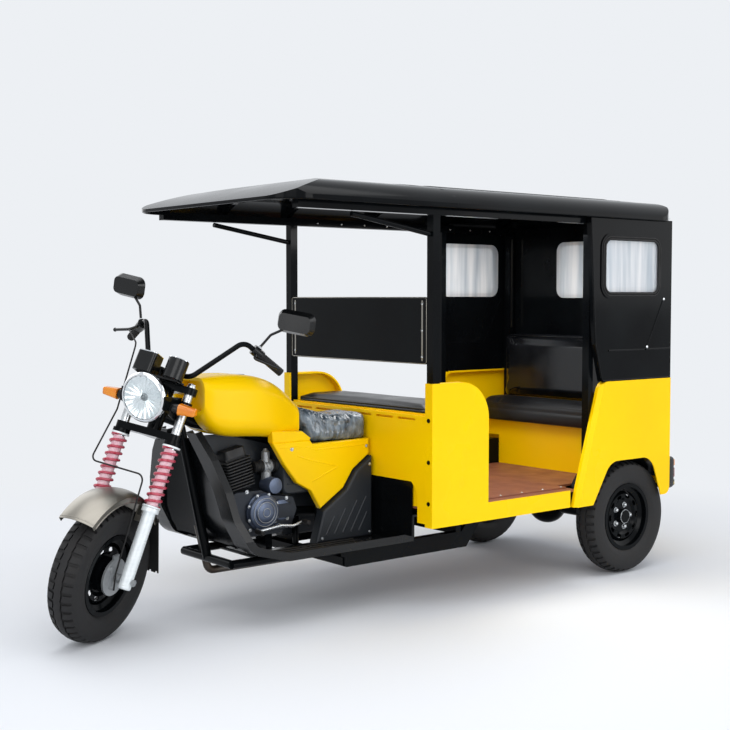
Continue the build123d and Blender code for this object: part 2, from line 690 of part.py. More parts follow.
EXHAUST_X = 90
EXHAUST_Z = 190
with BuildPart() as exhaust:
    add(bent_tube(
        [
            CYLINDER.from_local_coords((-30, -69 - SEAT_GAP, 96)),
            CYLINDER.from_local_coords((-30, -122, 96)),
            (-EXHAUST_X, POST_Y - 790, 430),
            (-EXHAUST_X, POST_Y - 730, EXHAUST_Z),
            (-EXHAUST_X, POST_Y - 200, EXHAUST_Z),
            (-205, POST_Y - 60, EXHAUST_Z),
            (-205, POST_Y + 40, EXHAUST_Z),
        ],
        17, 36))
    add(straight_bar((-205, POST_Y - 20, 216), (-205, POST_Y + 390, 216), 46))
    add(straight_bar((-205, POST_Y + 380, 216), (-205, POST_Y + 470, 216), 14))
keep(exhaust.part, "exhaust")

# Tank, saddle and side covers
TANK_SECTIONS = (
    # y from the cabin posts, half width, bottom, top, corner radius
    (-875, 126, 884, 1039, 48),
    (-820, 143, 814, 1044, 66),
    (-740, 150, 788, 1047, 76),
    (-600, 152, 778, 1034, 76),
    (-480, 126, 764, 986, 64),
    (-375, 94, 756, 906, 50),
)
TANK_POCKET_HALF = 108
TANK_POCKET_Z = 961
with BuildPart() as fuel_tank:
    for y, half, bottom, top, corner in TANK_SECTIONS:
        middle = (0, POST_Y + y, (bottom + top) / 2)
        with BuildSketch(Plane(origin=middle, x_dir=(1, 0, 0), z_dir=(0, -1, 0))):
            RectangleRounded(2 * half, top - bottom, corner)
    loft()
    with BuildSketch(Plane.XZ.offset(-POST_Y + 1000)):
        with Locations((0, 780)):
            Rectangle(2 * TANK_TUNNEL, 220)
    extrude(amount=-900, mode=Mode.SUBTRACT)
    with BuildSketch(Plane.XZ.offset(-POST_Y - TANK_SECTIONS[0][0])):
        with Locations((0, TANK_POCKET_Z)):
            RectangleRounded(2 * TANK_POCKET_HALF, 130, 36)
    extrude(amount=-60, mode=Mode.SUBTRACT)
keep(fuel_tank.part, "fuel_tank")

SADDLE_FRONT_Y = POST_Y + TANK_SECTIONS[-1][0] + 8
SADDLE_HALF = 128


def is_saddle_top_edge(edge):
    """True for the long upper edges on both sides of the saddle."""
    middle = edge.center()
    return abs(abs(middle.X) - SADDLE_HALF) < 1 and middle.Z > 845 and edge.length > 100


with BuildPart() as rider_seat:
    with BuildSketch(across(-SADDLE_HALF)):
        with BuildLine():
            Polyline(
                (SADDLE_FRONT_Y, 858), (SADDLE_FRONT_Y, 838), (SADDLE_FRONT_Y + 40, SADDLE_BOTTOM),
                (SADDLE_REAR_Y, SADDLE_BOTTOM), (SADDLE_REAR_Y, 860))
            ThreePointArc((SADDLE_REAR_Y, 860), (SADDLE_REAR_Y - 190, 852), (SADDLE_FRONT_Y + 20, 892))
            Line((SADDLE_FRONT_Y + 20, 892), (SADDLE_FRONT_Y, 858))
        make_face()
    extrude(amount=2 * SADDLE_HALF)
    fillet(rider_seat.edges().filter_by(is_saddle_top_edge), 16)
    with BuildSketch(Plane.XZ.offset(-SADDLE_FRONT_Y + 20)):
        with Locations((0, 720)):
            Rectangle(2 * TANK_TUNNEL, 116)
    extrude(amount=-300, mode=Mode.SUBTRACT)
keep(rider_seat.part, "rider_seat")

COVER_X = 108
COVER_OUT = 136
with BuildPart() as side_covers:
    with BuildSketch(across(COVER_X)):
        with BuildLine():
            Polyline(
                (POST_Y - 545, 748), (POST_Y - 345, 748), (POST_Y - 330, 730), (POST_Y - 14, 734),
                (POST_Y - 14, 664),
                (POST_Y - 108, 600), (POST_Y - 162, 522), (POST_Y - 290, 441), (POST_Y - 340, 524),
                (POST_Y - 415, 566), (POST_Y - 482, 650),
                close=True,
            )
        make_face()
    extrude(amount=COVER_OUT - COVER_X)
    fillet(side_covers.faces().sort_by(Axis.X)[-1].edges(), 7)
    # Peg that rests on the backbone.
    add(straight_bar((COVER_X + 4, POST_Y - 150, 713), (BACKBONE_R + 0.5, POST_Y - 150, 713), 8))
    mirror(about=Plane.YZ)
keep(side_covers.part, "side_covers")

SHIELD_T = 6
BATTERY_Z = FOOT_Z + SHIELD_T + SEAT_GAP
with BuildPart() as battery_covers:
    with BuildSketch(across(COVER_X)):
        with BuildLine():
            Polyline(
                (POST_Y - 14, 656), (POST_Y - 14, BATTERY_Z), (POST_Y - 330, BATTERY_Z),
                (POST_Y - 288, 432), (POST_Y - 158, 516), (POST_Y - 102, 596),
                close=True,
            )
        make_face()
    extrude(amount=COVER_OUT + 22 - COVER_X)
    fillet(battery_covers.faces().sort_by(Axis.X)[-1].edges(), 10)
    mirror(about=Plane.YZ)
keep(battery_covers.part, "battery_covers")

# Leg shields and footboards
SHIELD_LIP = 34
FOOT_REAR_Y = POST_Y + 62
FOOT_IN = 112
FOOT_OUT = 356
BEARER_BOTTOM = HIGH_RAIL_TOP - 40
SHIELD_RUN = (
    # y and z down the face and back along the footboard
    (POST_Y - 936, 818), (POST_Y - 893, 600), (POST_Y - 872, 470), (POST_Y - 800, 336),
    (POST_Y - 620, FOOT_Z), (FOOT_REAR_Y, FOOT_Z),
)
SHIELD_FRONT = (
    # x and z of the left shield seen from ahead
    (60, 840), (132, 840), (238, 715), (304, 590), (338, 470), (FOOT_OUT, 390), (FOOT_OUT, 200),
    (FOOT_IN, 200), (FOOT_IN, 328), (250, 344), (246, 470), (212, 590), (152, 700),
)


def shield_sheet(thickness):
    """The shield's run as a sheet across its whole width, its front and under face on SHIELD_RUN."""
    with BuildPart() as sheet:
        with BuildSketch(across(40)):
            with BuildLine():
                FilletPolyline(*SHIELD_RUN, radius=100)
                offset(amount=thickness, side=Side.LEFT)
            make_face()
        extrude(amount=FOOT_OUT)
    return sheet.part


with BuildPart() as shield_skin:
    add(shield_sheet(SHIELD_T))
    with BuildSketch(Plane.XZ):
        Polygon(*SHIELD_FRONT, align=None)
    extrude(amount=1500, both=True, mode=Mode.INTERSECT)

with BuildPart() as shield_lip:
    add(shield_sheet(SHIELD_LIP))
    with BuildSketch(Plane.XZ):
        Polygon(*SHIELD_FRONT, align=None)
        offset(amount=-SHIELD_T, mode=Mode.SUBTRACT)
    extrude(amount=1500, both=True, mode=Mode.INTERSECT)
    # No lip along the footboard's inner edge.
    add(box_between(
        (FOOT_IN - 10, POST_Y - 1000, 150), (FOOT_IN + 60, FOOT_REAR_Y + 1, 400)), mode=Mode.SUBTRACT)

with BuildPart() as leg_shields:
    add(shield_skin.part)
    add(shield_lip.part)
    # Bracket up to the first floor bearer.
    bracket_top = BEARER_BOTTOM - SEAT_GAP
    add(box_between((330, FOOT_REAR_Y - 14, FOOT_Z + 4), (FOOT_OUT, FOOT_REAR_Y, bracket_top)))
    add(box_between((330, FOOT_REAR_Y - 14, bracket_top - 10), (FOOT_OUT, POST_Y + 98, bracket_top)))
    mirror(about=Plane.YZ)
keep(leg_shields.part, "leg_shields")

# Chassis
RAIL_REAR_Y = CABIN_REAR_Y - 34
BEARER_X = FRONT_HALF - 30
BEARERS_Y = (POST_Y + 85, POST_Y + 370, POST_Y + 660, POST_Y + 905)
SHAFT_R = 22
SHAFT_START = Vector(0, ENGINE_Y + 172, ENGINE_Z - 40)
SHAFT_END = Vector(0, REAR_AXLE_Y - 205, TYRE_R)


def shaft_z(y):
    """The height of the propeller shaft's centre."""
    run = SHAFT_END - SHAFT_START
    return SHAFT_START.Z + run.Z * (y - SHAFT_START.Y) / run.Y


CROSS_MEMBERS = (
    # y, top, depth
    (POST_Y - 270, STRUT_FOOT - SEAT_GAP, 36),
    (POST_Y + 410, shaft_z(POST_Y + 410) - SHAFT_R - 12, 45),
    (RAIL_REAR_Y - 25, HIGH_RAIL_BOTTOM + 45, 45),
)
with BuildPart() as chassis_rails:
    with BuildSketch(across(RAIL_X - RAIL_W / 2)):
        with BuildLine():
            Polyline(
                (POST_Y - 290, LOW_RAIL_BOTTOM), (POST_Y + 420, LOW_RAIL_BOTTOM),
                (POST_Y + 560, HIGH_RAIL_BOTTOM),
                (RAIL_REAR_Y, HIGH_RAIL_BOTTOM), (RAIL_REAR_Y, HIGH_RAIL_TOP), (POST_Y + 530, HIGH_RAIL_TOP),
                (POST_Y + 390, LOW_RAIL_TOP), (POST_Y - 290, LOW_RAIL_TOP),
                close=True,
            )
        make_face()
    extrude(amount=RAIL_W)
    mirror(about=Plane.YZ)
    for y in BEARERS_Y:
        add(box_between((-BEARER_X, y - 15, BEARER_BOTTOM), (BEARER_X, y + 15, HIGH_RAIL_TOP)))
    for y in BEARERS_Y[:2]:
        for x in (-RAIL_X, RAIL_X):
            add(box_between((x - 18, y - 15, LOW_RAIL_TOP - 5), (x + 18, y + 15, HIGH_RAIL_TOP - 30)))
    for y, top, depth in CROSS_MEMBERS:
        add(box_between((-RAIL_X, y - 25, top - depth), (RAIL_X, y + 25, top)))
keep(chassis_rails.part, "chassis_rails")

HOUSING_R = 38
SPRING_PAD_Z = TYRE_R + HOUSING_R + 4
with BuildPart() as rear_axle:
    with BuildSketch(across(-BACKPLATE_X)):
        with Locations((REAR_AXLE_Y, TYRE_R)):
            Circle(HOUSING_R)
    extrude(amount=2 * BACKPLATE_X)
    with Locations((0, REAR_AXLE_Y, TYRE_R)):
        Sphere(102)
    with BuildSketch(Plane(origin=(0, REAR_AXLE_Y - 60, TYRE_R), z_dir=(0, -1, 0))):
        Circle(48)
    extrude(amount=120, taper=6)
    for side in (-1, 1):
        with BuildSketch(across(side * BACKPLATE_X - (PLATE_T if side > 0 else 0))):
            with Locations((REAR_AXLE_Y, TYRE_R)):
                Circle(DRUM_R + 6)
        extrude(amount=PLATE_T)
        pad_x = side * RAIL_X
        add(box_between((pad_x - 34, REAR_AXLE_Y - 50, TYRE_R), (pad_x + 34, REAR_AXLE_Y + 50, SPRING_PAD_Z)))
        with BuildSketch(across(side * (BACKPLATE_X + 1))):
            with Locations((REAR_AXLE_Y, TYRE_R)):
                Circle(STUB_R + RUNNING_GAP)
        extrude(amount=-side * (STUB_L + 6), mode=Mode.SUBTRACT)
keep(rear_axle.part, "rear_axle")

LEAF_T = 8
LEAF_COUNT = 4
LEAF_HALF_W = 30
LEAF_REACH = 232
EYE_R = 13
EYE_Z = HIGH_RAIL_BOTTOM - EYE_R - SEAT_GAP
LEAF_BASE_Z = SPRING_PAD_Z + SEAT_GAP + LEAF_COUNT * LEAF_T
LEAF_RISE = EYE_Z - LEAF_BASE_Z + LEAF_T / 2
LEAF_CURVE_R = (LEAF_REACH ** 2 + LEAF_RISE ** 2) / (2 * LEAF_RISE)
with BuildPart() as leaf_springs:
    leaf_centre_z = LEAF_BASE_Z + LEAF_CURVE_R
    for leaf in range(LEAF_COUNT):
        with BuildSketch(across(RAIL_X - LEAF_HALF_W)):
            with Locations((REAR_AXLE_Y, leaf_centre_z)):
                Circle(LEAF_CURVE_R + (leaf + 1) * LEAF_T)
                Circle(LEAF_CURVE_R + leaf * LEAF_T, mode=Mode.SUBTRACT)
            with Locations((REAR_AXLE_Y, SPRING_PAD_Z + 50)):
                Rectangle(2 * LEAF_REACH - leaf * 90, 140, mode=Mode.INTERSECT)
        extrude(amount=2 * LEAF_HALF_W)
    for end in (-1, 1):
        with BuildSketch(across(RAIL_X - LEAF_HALF_W)):
            with Locations((REAR_AXLE_Y + end * LEAF_REACH, EYE_Z)):
                Circle(EYE_R)
        extrude(amount=2 * LEAF_HALF_W)
    mirror(about=Plane.YZ)
keep(leaf_springs.part, "leaf_springs")

with BuildPart() as propeller_shaft:
    add(straight_bar(SHAFT_START, SHAFT_END, SHAFT_R))
    add(straight_bar((0, ENGINE_Y + 150 + SEAT_GAP, ENGINE_Z - 40), (0, ENGINE_Y + 190, ENGINE_Z - 40), 38))
    add(straight_bar((0, REAR_AXLE_Y - 222, TYRE_R), (0, REAR_AXLE_Y - 180 - SEAT_GAP, TYRE_R), 40))
keep(propeller_shaft.part, "propeller_shaft")

# Cabin floor and lower body
FLOOR_HALF = FRONT_HALF - SKIN - SEAT_GAP
FRONT_WALL_T = 20
FLOOR_FRONT_Y = POST_Y + FRONT_WALL_T + SEAT_GAP
FLOOR_BOTTOM = HIGH_RAIL_TOP + SEAT_GAP
FLOOR_REAR_Y = CABIN_REAR_Y - WALL_T - SEAT_GAP
with BuildPart() as cabin_floor:
    add(box_between((-FLOOR_HALF, FLOOR_FRONT_Y, FLOOR_BOTTOM), (FLOOR_HALF, DOOR_REAR_Y + 20, SILL_TOP)))
    add(box_between((-BENCH_FOOT_HALF, DOOR_REAR_Y, FLOOR_BOTTOM), (BENCH_FOOT_HALF, FLOOR_REAR_Y, SILL_TOP)))
keep(cabin_floor.part, "cabin_floor")

BOARD_T = 6
BOARD_HALF = FRONT_HALF - 61
with BuildPart() as deck_board:
    with BuildSketch(Plane.XY.offset(SILL_TOP + SEAT_GAP)):
        with Locations((0, (FRONT_BENCH_REAR_Y + 5 + DOOR_REAR_Y + 15) / 2)):
            RectangleRounded(2 * BOARD_HALF, DOOR_REAR_Y + 15 - FRONT_BENCH_REAR_Y - 5, 12)
    extrude(amount=BOARD_T)
keep(deck_board.part, "deck_board")

CORNER_R = 165
RIM_IN_X = FRONT_HALF - RIM_DEPTH


def corner_outline(inset, bottom):
    """The corner panel's side view, drawn in by inset from its front, top and doorway edges."""
    top = PANEL_TOP - inset
    rear = DOOR_FRONT_Y - inset
    with BuildSketch(across(RIM_IN_X)) as outline:
        with BuildLine():
            Polyline(
                (rear, PANEL_TOP - CORNER_R), (rear, bottom), (POST_Y + inset, bottom), (POST_Y + inset, top),
                (DOOR_FRONT_Y - CORNER_R, top))
            RadiusArc((DOOR_FRONT_Y - CORNER_R, top), (rear, PANEL_TOP - CORNER_R), CORNER_R - inset)
        make_face()
    return outline.sketch


with BuildPart() as front_corner_panels:
    extrude(corner_outline(0, SILL_BOTTOM), amount=RIM_DEPTH)
    extrude(corner_outline(RIM_EDGE, SILL_BOTTOM - 1), amount=RIM_DEPTH - SKIN, mode=Mode.SUBTRACT)
    # The post comes up through the top rim.
    add(box_between(
        (RIM_IN_X - 1, POST_Y + RIM_EDGE - 0.6, PANEL_TOP - 40),
        (FRONT_HALF - SKIN + 0.6, POST_Y + RIM_EDGE + POST + 0.6, PANEL_TOP + 1),
    ), mode=Mode.SUBTRACT)
    # The rear rim ends on the deck.
    add(box_between(
        (RIM_IN_X - 1, DOOR_FRONT_Y - RIM_EDGE - 1, SILL_BOTTOM - 1),
        (FRONT_HALF - SKIN, DOOR_FRONT_Y + 1, SILL_TOP + SEAT_GAP),
    ), mode=Mode.SUBTRACT)
    # Sill under the doorway.
    sill_rear_y = DOOR_REAR_Y - 30
    add(box_between((FRONT_HALF - SKIN, DOOR_FRONT_Y - 2, SILL_BOTTOM), (FRONT_HALF, sill_rear_y, SILL_TOP)))
    add(box_between((BEARER_X + 6, DOOR_FRONT_Y + 2, SILL_BOTTOM), (FRONT_HALF, sill_rear_y, SILL_BOTTOM + 5)))
    mirror(about=Plane.YZ)
keep(front_corner_panels.part, "front_corner_panels")

FRONT_WALL_HALF = FRONT_HALF - RIM_DEPTH - SEAT_GAP
FRONT_WALL_TOP = 859
WALL_ARCH_Z = 566
with BuildPart() as cabin_front_wall:
    with BuildSketch(Plane.XZ.offset(-POST_Y - FRONT_WALL_T)):
        with Locations((0, (FRONT_WALL_TOP + 390) / 2)):
            Rectangle(2 * FRONT_WALL_HALF, FRONT_WALL_TOP - 390)
        Polygon(
            (-450, 380), (450, 380), (450, 520), (410, WALL_ARCH_Z), (-410, WALL_ARCH_Z), (-450, 520),
            align=None, mode=Mode.SUBTRACT,
        )
        with Locations((0, FRONT_WALL_TOP - 18)):
            with GridLocations(150, 1, 6, 1):
                SlotOverall(120, 9, mode=Mode.SUBTRACT)
    extrude(amount=FRONT_WALL_T)
keep(cabin_front_wall.part, "cabin_front_wall")

BULKHEAD_Y = POST_Y + 8
with BuildPart() as lower_bulkhead:
    with BuildSketch(Plane.XZ.offset(-BULKHEAD_Y)):
        for half, low in ((FOOT_OUT - SHIELD_T - 1, BATTERY_Z), (404, FOOT_Z + SHIELD_LIP + 1)):
            with Locations((0, (low + WALL_ARCH_Z - SEAT_GAP) / 2)):
                Rectangle(2 * half, WALL_ARCH_Z - SEAT_GAP - low)
        with Locations((0, shaft_z(BULKHEAD_Y))):
            Circle(SHAFT_R + 18, mode=Mode.SUBTRACT)
        with Locations((-200, 430), (200, 430)):
            RectangleRounded(220, 60, 20, mode=Mode.SUBTRACT)
    extrude(amount=-6)
    # Shallow pressings that stiffen the sheet.
    with BuildSketch(Plane.XZ.offset(-BULKHEAD_Y - 2)):
        with Locations((-200, 430), (200, 430)):
            RectangleRounded(222, 62, 21)
    extrude(amount=-4)
keep(lower_bulkhead.part, "lower_bulkhead")

QUARTER_DEPTH = 36
QUARTER_EDGE = (
    (DOOR_REAR_Y - 22, SILL_BOTTOM), (DOOR_REAR_Y, SILL_TOP), (QUARTER_TOP_Y, WAIST_Z),
    (CABIN_REAR_Y, WAIST_Z), (CABIN_REAR_Y, SILL_BOTTOM),
)
ARCH_EDGE = (
    (REAR_AXLE_Y - 342, SILL_BOTTOM - 60), (REAR_AXLE_Y - 180, ARCH_TOP),
    (REAR_AXLE_Y + 136, ARCH_TOP), (REAR_AXLE_Y + 234, SILL_BOTTOM - 60),
)


def is_door_edge(edge):
    """True for the leaning outer edge beside the doorway."""
    middle = edge.center()
    halfway_up = abs(middle.Z - (SILL_TOP + WAIST_Z) / 2) < 5
    return abs(middle.X - REAR_HALF) < 1 and halfway_up and middle.Y < REAR_AXLE_Y


with BuildPart() as rear_quarter_panels:
    with BuildSketch(across(REAR_HALF - QUARTER_DEPTH)):
        Polygon(*QUARTER_EDGE, align=None)
        with BuildLine():
            arch = FilletPolyline(*ARCH_EDGE, radius=100)
            Line(arch @ 1, arch @ 0)
        make_face(mode=Mode.SUBTRACT)
    extrude(amount=QUARTER_DEPTH)
    chamfer(rear_quarter_panels.edges().filter_by(is_door_edge), 18)
    # Rounded top corner and lower tip.
    with BuildSketch(across(REAR_HALF - QUARTER_DEPTH)):
        Polygon(*QUARTER_EDGE, align=None)
        fillet(vertices().sort_by_distance((QUARTER_TOP_Y, WAIST_Z, 0))[0], 55)
        fillet(vertices().sort_by_distance((CABIN_REAR_Y, SILL_BOTTOM, 0))[0], 40)
    extrude(amount=QUARTER_DEPTH, mode=Mode.INTERSECT)
    with BuildSketch(across(REAR_HALF - QUARTER_DEPTH)):
        Polygon(
            (REAR_AXLE_Y - 300, SILL_BOTTOM - 5), (DOOR_REAR_Y + 26, SILL_TOP),
            (QUARTER_TOP_Y + 22, WAIST_Z - RIM_EDGE), (CABIN_REAR_Y - RIM_EDGE, WAIST_Z - RIM_EDGE),
            (CABIN_REAR_Y - RIM_EDGE, SILL_BOTTOM - 5),
            align=None,
        )
        fillet(vertices().sort_by_distance((QUARTER_TOP_Y + 22, WAIST_Z - RIM_EDGE, 0))[0], 46)
    extrude(amount=QUARTER_DEPTH - SKIN, mode=Mode.SUBTRACT)
    mirror(about=Plane.YZ)
keep(rear_quarter_panels.part, "rear_quarter_panels")

WIN_Y0 = REAR_AXLE_Y - 240
WIN_Y1 = REAR_AXLE_Y + 172
WIN_Z0 = 1388
WIN_Z1 = 1652
WIN_W = WIN_Y1 - WIN_Y0
WIN_H = WIN_Z1 - WIN_Z0
WIN_R = 45
WIN_MIDDLE = ((WIN_Y0 + WIN_Y1) / 2, (WIN_Z0 + WIN_Z1) / 2)
PRESSING_W = 24
PRESSING_T = 5
with BuildPart() as upper_quarter_panels:
    with BuildSketch(across(REAR_HALF - 3 - WALL_T)):
        with BuildLine():
            Polyline(
                (QUARTER_TOP_Y, WAIST_Z + SEAT_GAP), (UPPER_FRONT_Y, WAIST_Z + 180),
                (UPPER_FRONT_Y - 40, EAVE_Z - 1), (CABIN_REAR_Y, EAVE_Z - 1),
                (CABIN_REAR_Y, WAIST_Z + SEAT_GAP),
                close=True,
            )
        make_face()
    extrude(amount=WALL_T)
    with BuildSketch(across(REAR_HALF - 3 - WALL_T)):
        with BuildLine():
            Polyline(
                (QUARTER_TOP_Y + 8, WAIST_Z + 8), (UPPER_FRONT_Y + 8, WAIST_Z + 182),
                (UPPER_FRONT_Y - 32, EAVE_Z - 10), (CABIN_REAR_Y - RIM_EDGE, EAVE_Z - 10),
                (CABIN_REAR_Y - RIM_EDGE, WAIST_Z + 8),
                close=True,
            )
        make_face()
    extrude(amount=WALL_T - SKIN, mode=Mode.SUBTRACT)
    with BuildSketch(across(REAR_HALF - 3)):
        with Locations(WIN_MIDDLE):
            RectangleRounded(WIN_W + 2 * PRESSING_W, WIN_H + 2 * PRESSING_W, WIN_R + PRESSING_W)
    extrude(amount=PRESSING_T)
    with BuildSketch(across(REAR_HALF - 3)):
        with Locations(WIN_MIDDLE):
            RectangleRounded(WIN_W, WIN_H, WIN_R)
    extrude(amount=30, both=True, mode=Mode.SUBTRACT)
    mirror(about=Plane.YZ)
keep(upper_quarter_panels.part, "upper_quarter_panels")

HOUSE_R = TYRE_R + 32
HOUSE_T = 4
REAR_WALL_HALF = REAR_HALF - QUARTER_DEPTH - SEAT_GAP
REAR_WIN_HALF = 178
REAR_WIN_Z0 = 1382
REAR_WIN_Z1 = 1657
REAR_SKIN_Y = CABIN_REAR_Y - WALL_T
with BuildPart() as rear_panel:
    add(box_between((-REAR_WALL_HALF, REAR_SKIN_Y, SILL_BOTTOM + 8), (REAR_WALL_HALF, CABIN_REAR_Y, WAIST_Z)))
    add(box_between(
        (-REAR_WALL_HALF + 14, REAR_SKIN_Y - 1, SILL_BOTTOM),
        (REAR_WALL_HALF - 14, CABIN_REAR_Y - SKIN, WAIST_Z - 8),
    ), mode=Mode.SUBTRACT)
    for side in (-1, 1):
        with BuildSketch(across(side * (HOUSE_IN_X - SEAT_GAP))):
            with Locations((REAR_AXLE_Y, TYRE_R)):
                Circle(HOUSE_R + SEAT_GAP)
        extrude(amount=side * 300, mode=Mode.SUBTRACT)
keep(rear_panel.part, "rear_panel")

with BuildPart() as rear_upper_panel:
    add(box_between(
        (-REAR_WALL_HALF, REAR_SKIN_Y, WAIST_Z + SEAT_GAP), (REAR_WALL_HALF, CABIN_REAR_Y, EAVE_Z - 1)))
    add(box_between(
        (-REAR_WALL_HALF + 14, REAR_SKIN_Y - 1, WAIST_Z + 8),
        (REAR_WALL_HALF - 14, CABIN_REAR_Y - SKIN, EAVE_Z - 10),
    ), mode=Mode.SUBTRACT)
    with BuildSketch(Plane.XZ.offset(-CABIN_REAR_Y)):
        with Locations((0, (REAR_WIN_Z0 + REAR_WIN_Z1) / 2)):
            RectangleRounded(2 * REAR_WIN_HALF, REAR_WIN_Z1 - REAR_WIN_Z0, 40)
    extrude(amount=60, both=True, mode=Mode.SUBTRACT)
keep(rear_upper_panel.part, "rear_upper_panel")

GLASS_T = 4
GLASS_LAP = 14
with BuildPart() as cabin_windows:
    for side in (-1, 1):
        with BuildSketch(across(side * (REAR_HALF - 3 - SKIN - SEAT_GAP))):
            with Locations(WIN_MIDDLE):
                RectangleRounded(WIN_W + 2 * GLASS_LAP, WIN_H + 2 * GLASS_LAP, 55)
        extrude(amount=-side * GLASS_T)
    with BuildSketch(Plane.XZ.offset(-CABIN_REAR_Y + SKIN + SEAT_GAP)):
        with Locations((0, (REAR_WIN_Z0 + REAR_WIN_Z1) / 2)):
            RectangleRounded(2 * REAR_WIN_HALF + 2 * GLASS_LAP, REAR_WIN_Z1 - REAR_WIN_Z0 + 2 * GLASS_LAP, 50)
    extrude(amount=GLASS_T)
keep(cabin_windows.part, "cabin_windows")

with BuildPart() as wheel_houses:
    with BuildSketch(across(HOUSE_IN_X)):
        with Locations((REAR_AXLE_Y, TYRE_R)):
            Circle(HOUSE_R)
        with Locations((REAR_AXLE_Y, SILL_BOTTOM + 200 + 6)):
            Rectangle(3 * HOUSE_R, 400, mode=Mode.INTERSECT)
        with Locations((CABIN_REAR_Y - WALL_T - SEAT_GAP - 500, 500)):
            Rectangle(1000, 1000, mode=Mode.INTERSECT)
    extrude(amount=REAR_HALF - SKIN - SEAT_GAP - HOUSE_IN_X)
    with BuildSketch(across(HOUSE_IN_X + HOUSE_T)):
        with Locations((REAR_AXLE_Y, TYRE_R)):
            Circle(HOUSE_R - HOUSE_T)
    extrude(amount=300, mode=Mode.SUBTRACT)
    mirror(about=Plane.YZ)
keep(wheel_houses.part, "wheel_houses")

# Roof
def roof_block(inset):
    """The roof's outline as a solid, drawn in by inset. Used for the skin, its hollow and the bows."""
    half = ROOF_HALF - inset
    front = ROOF_FRONT_Y + inset
    rear = ROOF_REAR_Y - inset
    crown = CROWN_Z - inset
    flat = half - 160
    crown_r = (flat ** 2 + 40 ** 2) / 80
    mid_z = crown - crown_r + (crown_r ** 2 - flat ** 2 / 4) ** 0.5
    with BuildPart() as block:
        with BuildSketch(Plane.XZ):
            with BuildLine():
                Polyline((0, crown), (0, EAVE_Z - 60), (half, EAVE_Z - 60), (half, crown - 115))
                ThreePointArc((half, crown - 115), (half - 46, crown - 70), (flat, crown - 40))
                ThreePointArc((flat, crown - 40), (flat / 2, mid_z), (0, crown))
            make_face()
        extrude(amount=3000, both=True)
        with BuildSketch(across(0)):
            with BuildLine():
                Polyline((front, crown - 122), (front, EAVE_Z - 60), (rear, EAVE_Z - 60), (rear, crown - 90))
                ThreePointArc((rear, crown - 90), (rear - 40, crown - 40), (rear - 180, crown))
                Line((rear - 180, crown), (POST_Y - 60, crown))
                ThreePointArc((POST_Y - 60, crown), (POST_Y - 480, crown - 26), (front, crown - 122))
            make_face()
        extrude(amount=1000, both=True, mode=Mode.INTERSECT)
        with BuildSketch(Plane.XY.offset(EAVE_Z - 100)):
            with Locations((0, (front + rear) / 2)):
                Rectangle(2 * half, rear - front)
            fillet(vertices(), ROOF_CORNER_R - inset)
        extrude(amount=400, mode=Mode.INTERSECT)
        mirror(about=Plane.YZ)
    return block.part


with BuildPart() as roof_skin:
    add(roof_block(0))
    add(roof_block(ROOF_T), mode=Mode.SUBTRACT)
    with Locations((0, 0, EAVE_Z - 250)):
        Box(3000, 6000, 500, mode=Mode.SUBTRACT)

with BuildPart() as front_roof:
    add(roof_skin.part)
    with Locations((0, ROOF_SEAM_Y + 1500, EAVE_Z)):
        Box(3000, 3000, 1000, mode=Mode.SUBTRACT)
keep(front_roof.part, "front_roof")

with BuildPart() as rear_roof:
    add(roof_skin.part)
    with Locations((0, ROOF_SEAM_Y - 1500 + SEAT_GAP, EAVE_Z)):
        Box(3000, 3000, 1000, mode=Mode.SUBTRACT)
keep(rear_roof.part, "rear_roof")

POST_X = FRONT_HALF - SKIN - SEAT_GAP - POST / 2
POST_CENTRE_Y = POST_Y + RIM_EDGE + SEAT_GAP + POST / 2
RAIL_TOP_Z = EAVE_Z + 2
RAIL_DEPTH = 36
BOW_W = 28
BOWS_Y = (
    ROOF_FRONT_Y + 130, ROOF_FRONT_Y + 470, POST_CENTRE_Y, POST_Y + 560, UPPER_FRONT_Y + 60,
    CABIN_REAR_Y - WALL_T - 40,
)
with BuildPart() as roof_frame:
    add(roof_block(ROOF_T + SEAT_GAP))
    add(roof_block(ROOF_T + 22), mode=Mode.SUBTRACT)
    with Locations((0, 0, RAIL_TOP_Z - 250)):
        Box(3000, 6000, 500, mode=Mode.SUBTRACT)
    with BuildSketch(Plane.XY.offset(EAVE_Z - 200)):
        with Locations(*[(0, y) for y in BOWS_Y]):
            Rectangle(3000, BOW_W)
    extrude(amount=500, mode=Mode.INTERSECT)
    for side in (-1, 1):
        rail_in, rail_out = sorted((side * (POST_X - POST / 2), side * (ROOF_HALF - ROOF_T - 18)))
        for y in BOWS_Y:
            add(box_between(
                (rail_in, y - BOW_W / 2, RAIL_TOP_Z - 1), (rail_out, y + BOW_W / 2, RAIL_TOP_Z + 8)))
        add(box_between(
            (side * POST_X - POST / 2, ROOF_FRONT_Y + 110, RAIL_TOP_Z - RAIL_DEPTH),
            (side * POST_X + POST / 2, REAR_SKIN_Y - SEAT_GAP, RAIL_TOP_Z)))
keep(roof_frame.part, "roof_frame")

POST_TOP = RAIL_TOP_Z - RAIL_DEPTH - SEAT_GAP
POSTS = (
    # front y, rear y, foot
    (POST_CENTRE_Y - POST / 2, POST_CENTRE_Y + POST / 2, SILL_TOP + SEAT_GAP),
    (UPPER_FRONT_Y - 12, UPPER_FRONT_Y + 20, SILL_TOP + SEAT_GAP),
    (REAR_SKIN_Y - SEAT_GAP - 34, REAR_SKIN_Y - SEAT_GAP, 640),
)
with BuildPart() as cabin_posts:
    for front, rear, foot in POSTS:
        add(box_between((POST_X - POST / 2, front, foot), (POST_X + POST / 2, rear, POST_TOP)))
    add(straight_bar((POST_X, POSTS[0][0] - 3.6, 1640), (POST_X, POST_Y - 420, POST_TOP - 11.4), 11))
    mirror(about=Plane.YZ)
keep(cabin_posts.part, "cabin_posts")

